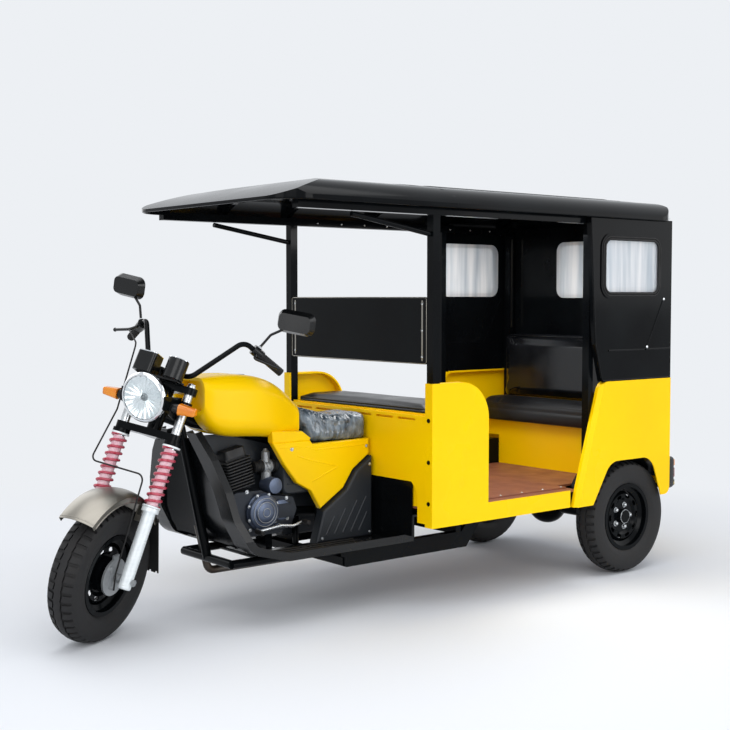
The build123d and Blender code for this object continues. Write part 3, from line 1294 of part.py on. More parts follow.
# Benches
FRONT_BENCH_TOP = 866
REAR_BENCH_TOP = 697
REAR_BENCH_REAR_Y = REAR_SKIN_Y - 36
BENCH_SHEET = 5
with BuildPart() as bench_boxes:
    foot = SILL_TOP + SEAT_GAP
    add(box_between((-BENCH_HALF, FLOOR_FRONT_Y, foot), (BENCH_HALF, FRONT_BENCH_REAR_Y, FRONT_BENCH_TOP)))
    add(box_between(
        (-BENCH_HALF + BENCH_SHEET, FLOOR_FRONT_Y + BENCH_SHEET, SILL_TOP),
        (BENCH_HALF - BENCH_SHEET, FRONT_BENCH_REAR_Y - BENCH_SHEET, FRONT_BENCH_TOP - BENCH_SHEET),
    ), mode=Mode.SUBTRACT)
    add(box_between(
        (-BENCH_FOOT_HALF, REAR_BENCH_FRONT_Y, foot), (BENCH_FOOT_HALF, REAR_BENCH_REAR_Y, REAR_BENCH_TOP)))
    add(box_between((-BENCH_HALF, REAR_BENCH_FRONT_Y, 610), (BENCH_HALF, REAR_BENCH_REAR_Y, REAR_BENCH_TOP)))
    add(box_between(
        (-BENCH_FOOT_HALF + BENCH_SHEET, REAR_BENCH_FRONT_Y + BENCH_SHEET, SILL_TOP),
        (BENCH_FOOT_HALF - BENCH_SHEET, REAR_BENCH_REAR_Y - BENCH_SHEET, REAR_BENCH_TOP - BENCH_SHEET),
    ), mode=Mode.SUBTRACT)
keep(bench_boxes.part, "bench_boxes")

CUSHION_GAP = 0.6
CUSHION_HALF = BENCH_HALF - 4
FRONT_CUSHION_Z = FRONT_BENCH_TOP + CUSHION_GAP
REAR_CUSHION_Z = REAR_BENCH_TOP + CUSHION_GAP
with BuildPart() as bench_cushions:
    with BuildPart(mode=Mode.PRIVATE) as front_cushion:
        add(box_between(
            (-CUSHION_HALF, FLOOR_FRONT_Y + 8, FRONT_CUSHION_Z),
            (CUSHION_HALF, FRONT_BENCH_REAR_Y - 4, FRONT_CUSHION_Z + 31)))
        fillet(front_cushion.edges().group_by(Axis.Z)[-1], 12)
    add(front_cushion.part)
    with BuildPart(mode=Mode.PRIVATE) as rear_cushion:
        add(box_between(
            (-CUSHION_HALF, REAR_BENCH_FRONT_Y - 60, REAR_CUSHION_Z),
            (CUSHION_HALF, REAR_BENCH_FRONT_Y + 120, REAR_CUSHION_Z + 134)))
        fillet(rear_cushion.edges().group_by(Axis.Z)[-1], 30)
    add(rear_cushion.part)
keep(bench_cushions.part, "bench_cushions")

BACKREST_Y0 = REAR_SKIN_Y - 36 - CUSHION_GAP
BACKREST_HALF = POST_X - POST / 2 - CUSHION_GAP
with BuildPart() as bench_backrests:
    with BuildPart(mode=Mode.PRIVATE) as front_back:
        add(box_between((-BACKREST_HALF, POST_Y + 12, 1080), (BACKREST_HALF, POST_Y + 12 + BACKREST_T, 1372)))
        fillet(front_back.edges().filter_by(Axis.Y), 20)
    add(front_back.part)
    with BuildPart(mode=Mode.PRIVATE) as rear_back:
        add(box_between((-BACKREST_HALF, BACKREST_Y0 - 80, 842), (BACKREST_HALF, BACKREST_Y0 + 30, 1175)))
        fillet(rear_back.edges().filter_by(Axis.Y), 25)
    add(rear_back.part)
keep(bench_backrests.part, "bench_backrests")

# Tail lamps
with BuildPart() as tail_lamps:
    with BuildSketch(Plane.XZ.offset(-CABIN_REAR_Y - SEAT_GAP)):
        with Locations((REAR_HALF - 47, 480)):
            RectangleRounded(92, 164, 12)
    extrude(amount=-66, taper=4)
    mirror(about=Plane.YZ)
keep(tail_lamps.part, "tail_lamps")
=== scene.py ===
"""Looks of a passenger auto rickshaw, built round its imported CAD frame.

Sizes are in millimetres unless a name says otherwise, in the CAD frame: +Z up, the front faces -Y and the
vehicle's left is +X. What steers is drawn straight ahead and turned to the parked angle as it is finished.
"""

import json
import logging
import math
from collections.abc import Sequence
from dataclasses import dataclass, field
from enum import Enum

import bmesh
import bpy
from mathutils import Matrix, Vector, noise
from mathutils.bvhtree import BVHTree


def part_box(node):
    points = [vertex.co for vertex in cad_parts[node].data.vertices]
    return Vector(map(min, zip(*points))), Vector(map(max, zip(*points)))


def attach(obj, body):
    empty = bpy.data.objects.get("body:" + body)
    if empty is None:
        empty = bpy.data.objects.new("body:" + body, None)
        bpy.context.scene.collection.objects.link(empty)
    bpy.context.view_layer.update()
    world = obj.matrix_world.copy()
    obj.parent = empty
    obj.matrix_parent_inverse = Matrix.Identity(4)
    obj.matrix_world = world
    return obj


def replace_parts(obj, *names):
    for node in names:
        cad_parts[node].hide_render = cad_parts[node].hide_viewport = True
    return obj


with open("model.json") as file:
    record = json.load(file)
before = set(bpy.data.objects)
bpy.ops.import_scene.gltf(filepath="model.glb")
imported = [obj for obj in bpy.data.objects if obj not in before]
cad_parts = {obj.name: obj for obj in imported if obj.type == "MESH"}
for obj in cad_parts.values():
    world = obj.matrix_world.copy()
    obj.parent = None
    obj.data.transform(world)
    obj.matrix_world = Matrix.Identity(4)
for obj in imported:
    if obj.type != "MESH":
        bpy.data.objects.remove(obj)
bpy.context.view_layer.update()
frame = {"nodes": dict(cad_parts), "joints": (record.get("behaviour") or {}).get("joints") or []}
LOG = logging.getLogger("rickshaw")
MM = 0.001
# Pairs of sizes in order: along an axis and out from it, or across and up.
Profile = Sequence[tuple[float, float]]


class Body(str, Enum):
    """The bodies that pieces ride on."""

    CHASSIS = "chassis"
    STEERING = "steering"
    FRONT_WHEEL = "front_wheel"
    REAR_LEFT = "rear_left_wheel"
    REAR_RIGHT = "rear_right_wheel"


def linear(colour: str) -> tuple[float, float, float, float]:
    """Turns an sRGB hex colour into linear light.

    Args:
        colour: six hex digits after a hash sign.

    Returns:
        Red, green, blue and a full alpha.
    """
    parts = [int(colour[i:i + 2], 16) / 255 for i in (1, 3, 5)]
    light = [p / 12.92 if p <= 0.04045 else ((p + 0.055) / 1.055) ** 2.4 for p in parts]
    return (*light, 1.0)


def add_node(tree: bpy.types.NodeTree, kind: str, inputs: dict | None = None, **settings) -> bpy.types.Node:
    """Adds a node with its settings, its socket values and its links.

    Args:
        tree: the node tree that takes the node.
        kind: the node's type.
        inputs: a value, or another node's output to link, for each socket by name or number.
        settings: the node's own properties.

    Returns:
        The new node.
    """
    node = tree.nodes.new(kind)
    for key, value in settings.items():
        setattr(node, key, value)
    for socket, value in (inputs or {}).items():
        if isinstance(value, bpy.types.NodeSocket):
            tree.links.new(value, node.inputs[socket])
        else:
            node.inputs[socket].default_value = value
    return node


@dataclass(frozen=True)
class Finish:
    """A surface finish whose colour, roughness and relief are broken up by patterns of real size.

    The patch pattern drifts the colour between its two tones and the roughness about its mean. The grain
    pattern is the fine relief of the surface. Constant shader values are held in sockets.
    """

    name: str
    slot: str
    colour: str
    tone: str
    roughness: float
    spread: float = 0.05
    metallic: float = 0.0
    patch_mm: float = 160.0
    grain_mm: float = 5.0
    grain_depth_mm: float = 0.03
    stretch: tuple[float, float, float] = (1.0, 1.0, 1.0)
    sockets: tuple[tuple[str, float], ...] = ()

    def material(self) -> bpy.types.Material:
        """Makes the material the first time that it is asked for.

        Returns:
            The material.
        """
        made = bpy.data.materials.get(self.name)
        if made is None:
            made = bpy.data.materials.new(self.name)
            made.use_nodes = True
            self.draw(made.node_tree)
        return made

    def draw(self, tree: bpy.types.NodeTree) -> None:
        """Draws the finish into a material's tree.

        Args:
            tree: a new material's tree with its shader.
        """
        shader = tree.nodes["Principled BSDF"]
        shader.inputs["Metallic"].default_value = self.metallic
        for socket, value in self.sockets:
            shader.inputs[socket].default_value = value
        place = add_node(tree, "ShaderNodeTexCoord").outputs["Object"]
        run = add_node(tree, "ShaderNodeMapping", {"Vector": place, "Scale": self.stretch}).outputs[0]
        patch = add_node(tree, "ShaderNodeTexNoise",
                         {"Vector": run, "Scale": 1 / (self.patch_mm * MM), "Detail": 4.0}).outputs["Fac"]
        drift = add_node(tree, "ShaderNodeMapRange",
                         {"Value": patch, "From Min": 0.34, "From Max": 0.66}).outputs[0]
        tint = add_node(tree, "ShaderNodeMix", {0: drift, 6: linear(self.colour), 7: linear(self.tone)},
                        data_type="RGBA").outputs[2]
        tree.links.new(tint, shader.inputs["Base Color"])
        dull = add_node(tree, "ShaderNodeMapRange",
                        {"Value": patch, "From Min": 0.3, "From Max": 0.7,
                         "To Min": max(self.roughness - self.spread, 0.0),
                         "To Max": self.roughness + self.spread}).outputs[0]
        tree.links.new(dull, shader.inputs["Roughness"])
        relief = add_node(tree, "ShaderNodeBump",
                          {"Height": self.height(tree, run), "Distance": self.grain_depth_mm * MM}).outputs[0]
        tree.links.new(relief, shader.inputs["Normal"])

    def height(self, tree: bpy.types.NodeTree, run: bpy.types.NodeSocket) -> bpy.types.NodeSocket:
        """Draws the grain's height.

        Args:
            tree: the material's tree.
            run: the place on the surface, stretched along the grain.

        Returns:
            The height from 0 to 1.
        """
        return add_node(tree, "ShaderNodeTexNoise",
                        {"Vector": run, "Scale": 1 / (self.grain_mm * MM), "Detail": 2.0}).outputs["Fac"]


@dataclass(frozen=True)
class CellFinish(Finish):
    """A finish whose relief is a net of small cells, as on embossed vinyl and moulded plastic."""

    def height(self, tree: bpy.types.NodeTree, run: bpy.types.NodeSocket) -> bpy.types.NodeSocket:
        """Draws pebbles with creases between them.

        Args:
            tree: the material's tree.
            run: the place on the surface.

        Returns:
            The height from 0 to 1.
        """
        return add_node(tree, "ShaderNodeTexVoronoi",
                        {"Vector": run, "Scale": 1 / (self.grain_mm * MM), "Randomness": 0.9},
                        feature="SMOOTH_F1").outputs["Distance"]


@dataclass(frozen=True)
class FilmFinish(Finish):
    """Vinyl under loose clear film, whose folds run as long soft ridges."""

    fold_mm: float = 60.0

    def height(self, tree: bpy.types.NodeTree, run: bpy.types.NodeSocket) -> bpy.types.NodeSocket:
        """Draws the film's folds as warped waves.

        Args:
            tree: the material's tree.
            run: the place on the surface, stretched along the folds.

        Returns:
            The height from 0 to 1.
        """
        return add_node(tree, "ShaderNodeTexWave",
                        {"Vector": run, "Scale": 0.5 / (self.fold_mm * MM), "Distortion": 9.0,
                         "Detail": 3.0, "Detail Scale": 1.6}).outputs["Fac"]


# Two-pack enamel sprayed over pressed steel: clean deep gloss with a faint orange peel, drawn coarser than
# the real one so that it shows.
YELLOW_ENAMEL = Finish("yellow_gloss_enamel", "yellow_paint", "#FFD200", "#FFCA00", 0.3, 0.04,
                       patch_mm=420, grain_mm=9, grain_depth_mm=0.05, sockets=(("Specular IOR Level", 0.14),))
BLACK_ENAMEL = Finish("black_gloss_enamel", "black_paint", "#07080A", "#0B0E10", 0.14, 0.04,
                      patch_mm=300, grain_mm=9, grain_depth_mm=0.05, sockets=(("Specular IOR Level", 0.08),))
RED_ENAMEL = Finish("red_gloss_enamel", "red_paint", "#A8243A", "#C25B6C", 0.3, 0.05,
                    patch_mm=16, grain_mm=6, grain_depth_mm=0.05, sockets=(("Specular IOR Level", 0.4),))
# Pale nylon sleeve inside the springs. Its pink is a painted reflection: red light bounced onto it from the
# red paint round it.
NYLON_PAINTED_RED_REFLECTION = Finish("nylon_sleeve_painted_red_reflection", "red_paint", "#F2D3DA", "#E3B2BE", 0.45, 0.06,
                    patch_mm=18, grain_mm=4)
# Brushed-on deck paint over board: low sheen, blotchy from wear by feet.
DECK_PAINT = Finish("brown_deck_paint", "deck_paint", "#8C553C", "#7A4630", 0.5, 0.1,
                    patch_mm=110, grain_mm=7, grain_depth_mm=0.12)
# Sand-cast aluminium with a dark lacquer: soft glints on a pebbly skin.
ENGINE_ALLOY = Finish("lacquered_cast_aluminium", "engine_alloy", "#1B1F26", "#262B33", 0.4, 0.08, 0.5,
                      patch_mm=70, grain_mm=3, grain_depth_mm=0.1)
# The same castings where they are machined and sprayed: a blue-grey metallic coat.
COVER_ALLOY = Finish("sprayed_cover_alloy", "engine_alloy", "#4A5468", "#5A657A", 0.34, 0.06, 0.55,
                     patch_mm=60, grain_mm=3, grain_depth_mm=0.05)
# Heat-proof black on cast fins: dull, a little dusty in the hollows.
ENGINE_BLACK = Finish("matt_black_cast_iron", "engine_black", "#17181A", "#222325", 0.62, 0.1,
                      patch_mm=50, grain_mm=3, grain_depth_mm=0.12)
# Rolled steel tube, browned near the head by heat.
EXHAUST_STEEL = Finish("heat_tinted_steel", "exhaust_steel", "#5B5753", "#4A423B", 0.42, 0.12, 1.0,
                       patch_mm=90, grain_mm=4, grain_depth_mm=0.05)
# Injection-moulded polypropylene with a spark-eroded grain: dark, even, slightly blue.
GREY_PLASTIC = CellFinish("grained_polypropylene", "grey_plastic", "#23272C", "#272B30", 0.46, 0.05,
                          patch_mm=200, grain_mm=2.4, grain_depth_mm=0.12,
                          sockets=(("Specular IOR Level", 0.3),))
# Polished ABS mouldings: sharp reflections on a very dark body.
BLACK_ABS = Finish("polished_abs", "black_plastic", "#101112", "#141516", 0.24, 0.05,
                   patch_mm=90, grain_mm=8, grain_depth_mm=0.03, sockets=(("Specular IOR Level", 0.3),))
# Expanded vinyl on foam: embossed leather pebbles with a soft sheen.
BLACK_VINYL = CellFinish("embossed_black_vinyl", "seat_vinyl", "#101012", "#17181A", 0.34, 0.07,
                         patch_mm=140, grain_mm=3.2, grain_depth_mm=0.2,
                         sockets=(("Specular IOR Level", 0.35),))
# The backrests' smooth vinyl: the same foam backing under a calendered skin that shines.
GLOSS_VINYL = Finish("calendered_black_vinyl", "seat_vinyl", "#0E0F11", "#15171A", 0.2, 0.06,
                     patch_mm=110, grain_mm=26, grain_depth_mm=0.35, sockets=(("Specular IOR Level", 0.4),))
# The same vinyl still in its wrapping. Its colour is painted highlights: blue-grey with long pale streaks
# along the film's folds, in place of the clear film's sheen over the black vinyl.
FILM_VINYL_PAINTED_HIGHLIGHTS = FilmFinish("vinyl_film_painted_highlights", "seat_vinyl", "#2C3842", "#74818C", 0.22, 0.08,
                          patch_mm=26, grain_depth_mm=1.6, stretch=(0.8, 1.0, 0.45),
                          sockets=(("Coat Weight", 0.5), ("Coat Roughness", 0.1)))
# Sheet glazing, part see-through. Its white colour with upright grey streaks is a painted reflection of the
# bright studio in the glass.
WINDOW_SHEET_PAINTED_REFLECTION = Finish("window_sheet_painted_reflection", "window_glass", "#FFFFFF", "#CFD7DE", 0.08, 0.03,
                      patch_mm=42, grain_mm=60, grain_depth_mm=0.2, stretch=(1.0, 1.0, 0.06),
                      sockets=(("Transmission Weight", 0.4), ("IOR", 1.1)))
# Pressed lamp glass with bright internal reflections.
LAMP_GLASS = Finish("pressed_lamp_glass", "lamp_glass", "#F4F7F8", "#EDF2F3", 0.03, 0.02,
                    patch_mm=60, grain_mm=30, grain_depth_mm=0.05,
                    sockets=(("Transmission Weight", 1.0), ("IOR", 1.2)))
# Dyed acrylic: light enters and glows in its own colour.
RED_ACRYLIC = Finish("red_acrylic", "lamp_red", "#A8141A", "#8E0F14", 0.12, 0.04,
                     patch_mm=40, grain_mm=12, grain_depth_mm=0.05,
                     sockets=(("Transmission Weight", 0.35), ("IOR", 1.49), ("Coat Weight", 0.5)))
AMBER_ACRYLIC = Finish("amber_acrylic", "lamp_amber", "#F79A12", "#EE8608", 0.12, 0.04,
                       patch_mm=40, grain_mm=12, grain_depth_mm=0.05,
                       sockets=(("Transmission Weight", 0.2), ("IOR", 1.49), ("Coat Weight", 0.4)))
# Oiled leaf-spring steel: near black with a little scale.
SPRING_STEEL = Finish("black_spring_steel", "spring_steel", "#1C1C1D", "#282726", 0.45, 0.1, 0.6,
                      patch_mm=60, grain_mm=3, grain_depth_mm=0.08)
# Zinc-plated fasteners and rods: bright with a cloudy bloom.
ZINC = Finish("zinc_plated_steel", "bright_steel", "#C9CCCE", "#B5B8BA", 0.28, 0.08, 1.0,
              patch_mm=18, grain_mm=2, grain_depth_mm=0.02)
# Turned and lacquered aluminium legs with fine lathe rings. Their near-white colour on a mostly non-metal
# shader is a painted reflection of the bright studio. The hubs are cast, duller and greyer.
PALE_ALLOY_PAINTED_REFLECTION = Finish("pale_aluminium_painted_reflection", "fork_alloy", "#EDF3F4", "#E2E9EB", 0.32, 0.06, 0.15,
                    patch_mm=60, grain_mm=3, grain_depth_mm=0.02, stretch=(1.0, 1.0, 5.0))
HUB_ALLOY = Finish("die_cast_aluminium", "hub_alloy", "#A9ACAE", "#979A9C", 0.42, 0.08, 0.6,
                   patch_mm=50, grain_mm=3, grain_depth_mm=0.06)
# Bright-rolled stainless sheet: broad soft reflections drawn out along the rolling.
STAINLESS = Finish("rolled_stainless_sheet", "stainless", "#9B978F", "#8C8880", 0.3, 0.06, 1.0,
                   patch_mm=140, grain_mm=6, grain_depth_mm=0.03, stretch=(1.0, 0.12, 0.12))
# Plated brass and steel: a mirror with the faintest haze.
CHROME = Finish("bright_chrome_plate", "chrome", "#E3E5E7", "#D9DCDF", 0.06, 0.03, 1.0,
                patch_mm=60, grain_mm=20, grain_depth_mm=0.01)
# Aluminium vapour on lacquer inside the headlamp, soft. Its near-white colour is partly real metal and partly
# a painted reflection: a fifth is left non-metal so that the dish stays bright.
DISH_METAL_AND_PAINTED_REFLECTION = Finish("vapour_dish_and_painted_reflection", "chrome", "#FBFCFD", "#F1F4F6", 0.2, 0.05, 0.8,
                   patch_mm=30, grain_mm=12, grain_depth_mm=0.05)
# Silvered float glass: the clearest reflection on the vehicle.
MIRROR_GLASS = Finish("silvered_mirror_glass", "mirror", "#E6EAEC", "#E2E6E8", 0.02, 0.01, 1.0,
                      patch_mm=80, grain_mm=60, grain_depth_mm=0.01)
# Moulded rubber: dull, slightly grey where the mould let go. Tyre rubber is drier and rougher.
RUBBER = Finish("moulded_rubber", "rubber", "#141414", "#1C1B1B", 0.6, 0.08,
                patch_mm=40, grain_mm=3, grain_depth_mm=0.08, sockets=(("Specular IOR Level", 0.3),))
TYRE_RUBBER = Finish("vulcanised_tyre_rubber", "tyre", "#1B1B1C", "#232222", 0.66, 0.08,
                     patch_mm=60, grain_mm=3.5, grain_depth_mm=0.1, sockets=(("Specular IOR Level", 0.3),))
CAD_FINISHES = {
    finish.slot: finish
    for finish in (
        YELLOW_ENAMEL, BLACK_ENAMEL, RED_ENAMEL, DECK_PAINT, ENGINE_ALLOY, ENGINE_BLACK, EXHAUST_STEEL,
        GREY_PLASTIC, BLACK_ABS, BLACK_VINYL, WINDOW_SHEET_PAINTED_REFLECTION, LAMP_GLASS, RED_ACRYLIC, AMBER_ACRYLIC,
        SPRING_STEEL, ZINC, PALE_ALLOY_PAINTED_REFLECTION, HUB_ALLOY, STAINLESS, CHROME, MIRROR_GLASS, RUBBER, TYRE_RUBBER)
}


def steering_turn() -> Matrix:
    """Works out the turn from straight ahead to the parked angle.

    Returns:
        The turn about the steering joint, in metres.
    """
    joint = next(j for j in frame["joints"] if j["name"] == "steering_turn")
    parked = -math.radians(sum(joint["range_deg"]) / 2)
    pivot = Matrix.Translation(joint["pos_m"])
    return pivot @ Matrix.Rotation(parked, 4, Vector(joint["axis"])) @ pivot.inverted()


STEERED = steering_turn()
STRAIGHT = Matrix.Identity(4)


class Shape:
    """A mesh under construction, in millimetres, that becomes a piece of the vehicle."""

    def __init__(self, place: Matrix = STRAIGHT) -> None:
        """Starts an empty mesh.

        Args:
            place: the turn, in metres, that the finished piece takes.
        """
        self.mesh = bmesh.new()
        self.place = place

    def skin(self, rings: list[list[Vector]], caps: bool = True, closed: bool = False) -> None:
        """Skins a chain of rings that have the same number of points.

        Args:
            rings: points round each section, in order.
            caps: whether the first and last rings are filled.
            closed: whether the last ring runs on to the first.
        """
        made = [[self.mesh.verts.new(p) for p in ring] for ring in rings]
        count = len(made[0])
        pairs = list(zip(made, made[1:] + made[:1])) if closed else list(zip(made, made[1:]))
        for first, second in pairs:
            for i in range(count):
                j = (i + 1) % count
                self.mesh.faces.new((first[i], first[j], second[j], second[i]))
        if caps and not closed:
            self.mesh.faces.new(list(reversed(made[0])))
            self.mesh.faces.new(made[-1])

    def tube(self, points: list[Vector], radius: float, sides: int = 12, closed: bool = False) -> None:
        """Adds a round bar along a chain of points.

        Args:
            points: the centreline.
            radius: the bar's radius.
            sides: flats round the bar.
            closed: whether the chain runs on to its start.
        """
        rings = []
        last = len(points) - 1
        normal = None
        for i, point in enumerate(points):
            ahead = points[(i + 1) % len(points)] if closed else points[min(i + 1, last)]
            behind = points[i - 1] if closed else points[max(i - 1, 0)]
            along = (ahead - behind).normalized()
            if normal is None:
                normal = along.orthogonal().normalized()
            normal = (normal - along * normal.dot(along)).normalized()
            across = along.cross(normal)
            turns = [2 * math.pi * k / sides for k in range(sides)]
            rings.append([point + (normal * math.cos(t) + across * math.sin(t)) * radius for t in turns])
        self.skin(rings, caps=not closed, closed=closed)

    def lathe(self, profile: Profile, centre: Vector, axis: Vector, sides: int = 32) -> None:
        """Turns a profile about an axis.

        Args:
            profile: distance along the axis and radius, in order, with no radius of 0.
            centre: where the axis starts.
            axis: which way it runs.
            sides: flats round the turn.
        """
        axis = axis.normalized()
        normal = axis.orthogonal().normalized()
        across = axis.cross(normal)
        turns = [2 * math.pi * k / sides for k in range(sides)]
        self.skin([
            [centre + axis * along + (normal * math.cos(t) + across * math.sin(t)) * radius for t in turns]
            for along, radius in profile])

    def plate(self, outline: list[Vector], depth: Vector) -> None:
        """Pushes a flat outline along a direction.

        Args:
            outline: the points round the plate.
            depth: how far, and which way, it is pushed.
        """
        self.skin([outline, [p + depth for p in outline]])

    def hoop(self, loop: Profile, centre: Vector, axis: Vector, sides: int = 48) -> None:
        """Turns a closed loop about an axis into a ring.

        Args:
            loop: distance along the axis and radius, round the ring's section.
            centre: where the axis starts.
            axis: which way it runs.
            sides: flats round the ring.
        """
        axis = axis.normalized()
        normal = axis.orthogonal().normalized()
        across = axis.cross(normal)
        ways = [normal * math.cos(t) + across * math.sin(t)
                for t in (2 * math.pi * k / sides for k in range(sides))]
        self.skin([[centre + axis * along + way * radius for along, radius in loop] for way in ways],
                  closed=True)

    def ribbon(self, path: list[Vector], across: Vector, width: float, thickness: float) -> None:
        """Lays a flat strip along a chain of points.

        Args:
            path: the middle of the strip's lower face.
            across: which way its width runs.
            width: its width.
            thickness: how far it stands up on the side that the path turns left of.
        """
        rings = []
        last = len(path) - 1
        for i, point in enumerate(path):
            along = (path[min(i + 1, last)] - path[max(i - 1, 0)]).normalized()
            rise = along.cross(across).normalized() * thickness
            side = across * width / 2
            rings.append([point - side, point + side, point + side * 0.92 + rise, point - side * 0.92 + rise])
        self.skin(rings)

    def dome(self, at: Vector, out: Vector, radius: float) -> None:
        """Adds a round rivet head.

        Args:
            at: the middle of its foot.
            out: which way it stands.
            radius: of its foot.
        """
        self.lathe([(0, radius), (0.25 * radius, 0.94 * radius), (0.48 * radius, 0.7 * radius),
                    (0.6 * radius, 0.25 * radius)], at, out, 14)

    def bolt(self, at: Vector, out: Vector, radius: float) -> None:
        """Adds a hexagon head on its washer.

        Args:
            at: the middle of the washer's foot.
            out: which way it stands.
            radius: of the head, across its corners.
        """
        self.lathe([(0, 1.5 * radius), (0.2 * radius, 1.5 * radius)], at, out, 18)
        self.lathe([(0.2 * radius, radius), (0.85 * radius, radius), (radius, 0.8 * radius)], at, out, 6)

    def rough(self, name: str) -> bpy.types.Object:
        """Turns the mesh into a bare object in metres.

        Args:
            name: the object's name.

        Returns:
            The object, which rides on nothing yet.
        """
        bmesh.ops.recalc_face_normals(self.mesh, faces=self.mesh.faces)
        data = bpy.data.meshes.new(name)
        self.mesh.to_mesh(data)
        self.mesh.free()
        data.transform(self.place @ Matrix.Scale(MM, 4))
        made = bpy.data.objects.new(name, data)
        bpy.context.scene.collection.objects.link(made)
        return made

    def done(self, name: str, finish: Finish, body: Body, bevel: float = 0.0,
             smooth_deg: float = 38.0) -> bpy.types.Object:
        """Turns the mesh into a piece that rides on a body.

        Args:
            name: the piece's name.
            finish: its surface.
            body: what it moves with.
            bevel: the width of its softened edges.
            smooth_deg: edges flatter than this shade smooth.

        Returns:
            The piece.
        """
        piece = self.rough(name)
        if bevel:
            soften = piece.modifiers.new("softened_edges", "BEVEL")
            soften.width = bevel * MM
            soften.segments = 2
            soften.angle_limit = math.radians(40)
        return settle(piece, finish, body, smooth_deg)


def settle(piece: bpy.types.Object, finish: Finish, body: Body, smooth_deg: float = 38.0) -> bpy.types.Object:
    """Gives a piece its finish and lets it ride on a body.

    Args:
        piece: a mesh object in place.
        finish: its surface.
        body: what it moves with.
        smooth_deg: edges flatter than this shade smooth.

    Returns:
        The same piece.
    """
    piece.data.materials.clear()
    piece.data.materials.append(finish.material())
    piece.data.shade_smooth()
    piece.data.set_sharp_from_angle(angle=math.radians(smooth_deg))
    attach(piece, body.value)
    LOG.info("%s: %s on %s", piece.name, finish.name, body.value)
    return piece


def smooth(cover: bpy.types.Object) -> None:
    """Subdivides a pad's cover once, in the view and in the render."""
    finer = cover.modifiers.new("smooth_cover", "SUBSURF")
    finer.levels = finer.render_levels = 1


def millimetres(node: str) -> tuple[Vector, Vector]:
    """Returns the lowest and highest corners of a CAD node, in millimetres."""
    low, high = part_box(node)
    return low / MM, high / MM


def face_at(node: str, start: Vector, way: Vector) -> Vector | None:
    """Finds where a line first meets a CAD node.

    Args:
        node: the CAD node.
        start: a point off the node.
        way: which way the line runs.

    Returns:
        The place on the node's surface, or None where the line misses it.
    """
    data = frame["nodes"][node].data
    tree = BVHTree.FromPolygons([v.co for v in data.vertices], [p.vertices for p in data.polygons])
    hit = tree.ray_cast(start * MM, way)[0]
    return None if hit is None else hit / MM


def ring_points(centre: Vector, first: Vector, second: Vector, sides: int) -> list[Vector]:
    """Places points round an ellipse.

    Args:
        centre: the middle.
        first: the half axis at angle 0.
        second: the half axis at a right angle.
        sides: how many points.

    Returns:
        The points in order.
    """
    turns = [2 * math.pi * k / sides for k in range(sides)]
    return [centre + first * math.cos(t) + second * math.sin(t) for t in turns]


def rounded_outline(width: float, height: float, radius: float, steps: int = 6) -> list[tuple[float, float]]:
    """Draws a rectangle with round corners about its middle.

    Args:
        width: its whole width.
        height: its whole height.
        radius: of the corners.
        steps: points round each corner, less one.

    Returns:
        The points in order, anticlockwise.
    """
    corners = ((1, 1, 0), (-1, 1, 90), (-1, -1, 180), (1, -1, 270))
    points = []
    for side_x, side_y, start in corners:
        for k in range(steps + 1):
            t = math.radians(start + 90 * k / steps)
            points.append((side_x * (width / 2 - radius) + radius * math.cos(t),
                           side_y * (height / 2 - radius) + radius * math.sin(t)))
    return points


@dataclass
class Dresser:
    """Gives every CAD node the finish of its record slot, or its own."""

    own: dict[str, Finish] = field(default_factory=lambda: {"hand_controls": BLACK_ABS})

    def dress(self) -> None:
        """Puts the finishes on the nodes."""
        for name, node in frame["nodes"].items():
            finish = self.own.get(name) or CAD_FINISHES[next(iter(self.slots_of(node)))]
            node.data.materials.clear()
            node.data.materials.append(finish.material())
            LOG.info("%s: %s", name, finish.name)

    @staticmethod
    def slots_of(node: bpy.types.Object) -> list[str]:
        """Returns the record slots that a node's packed materials are named for."""
        names = [m.name.split(".")[0] for m in node.data.materials]
        return [slot for name in names for slot in CAD_FINISHES if name == slot] or ["black_paint"]


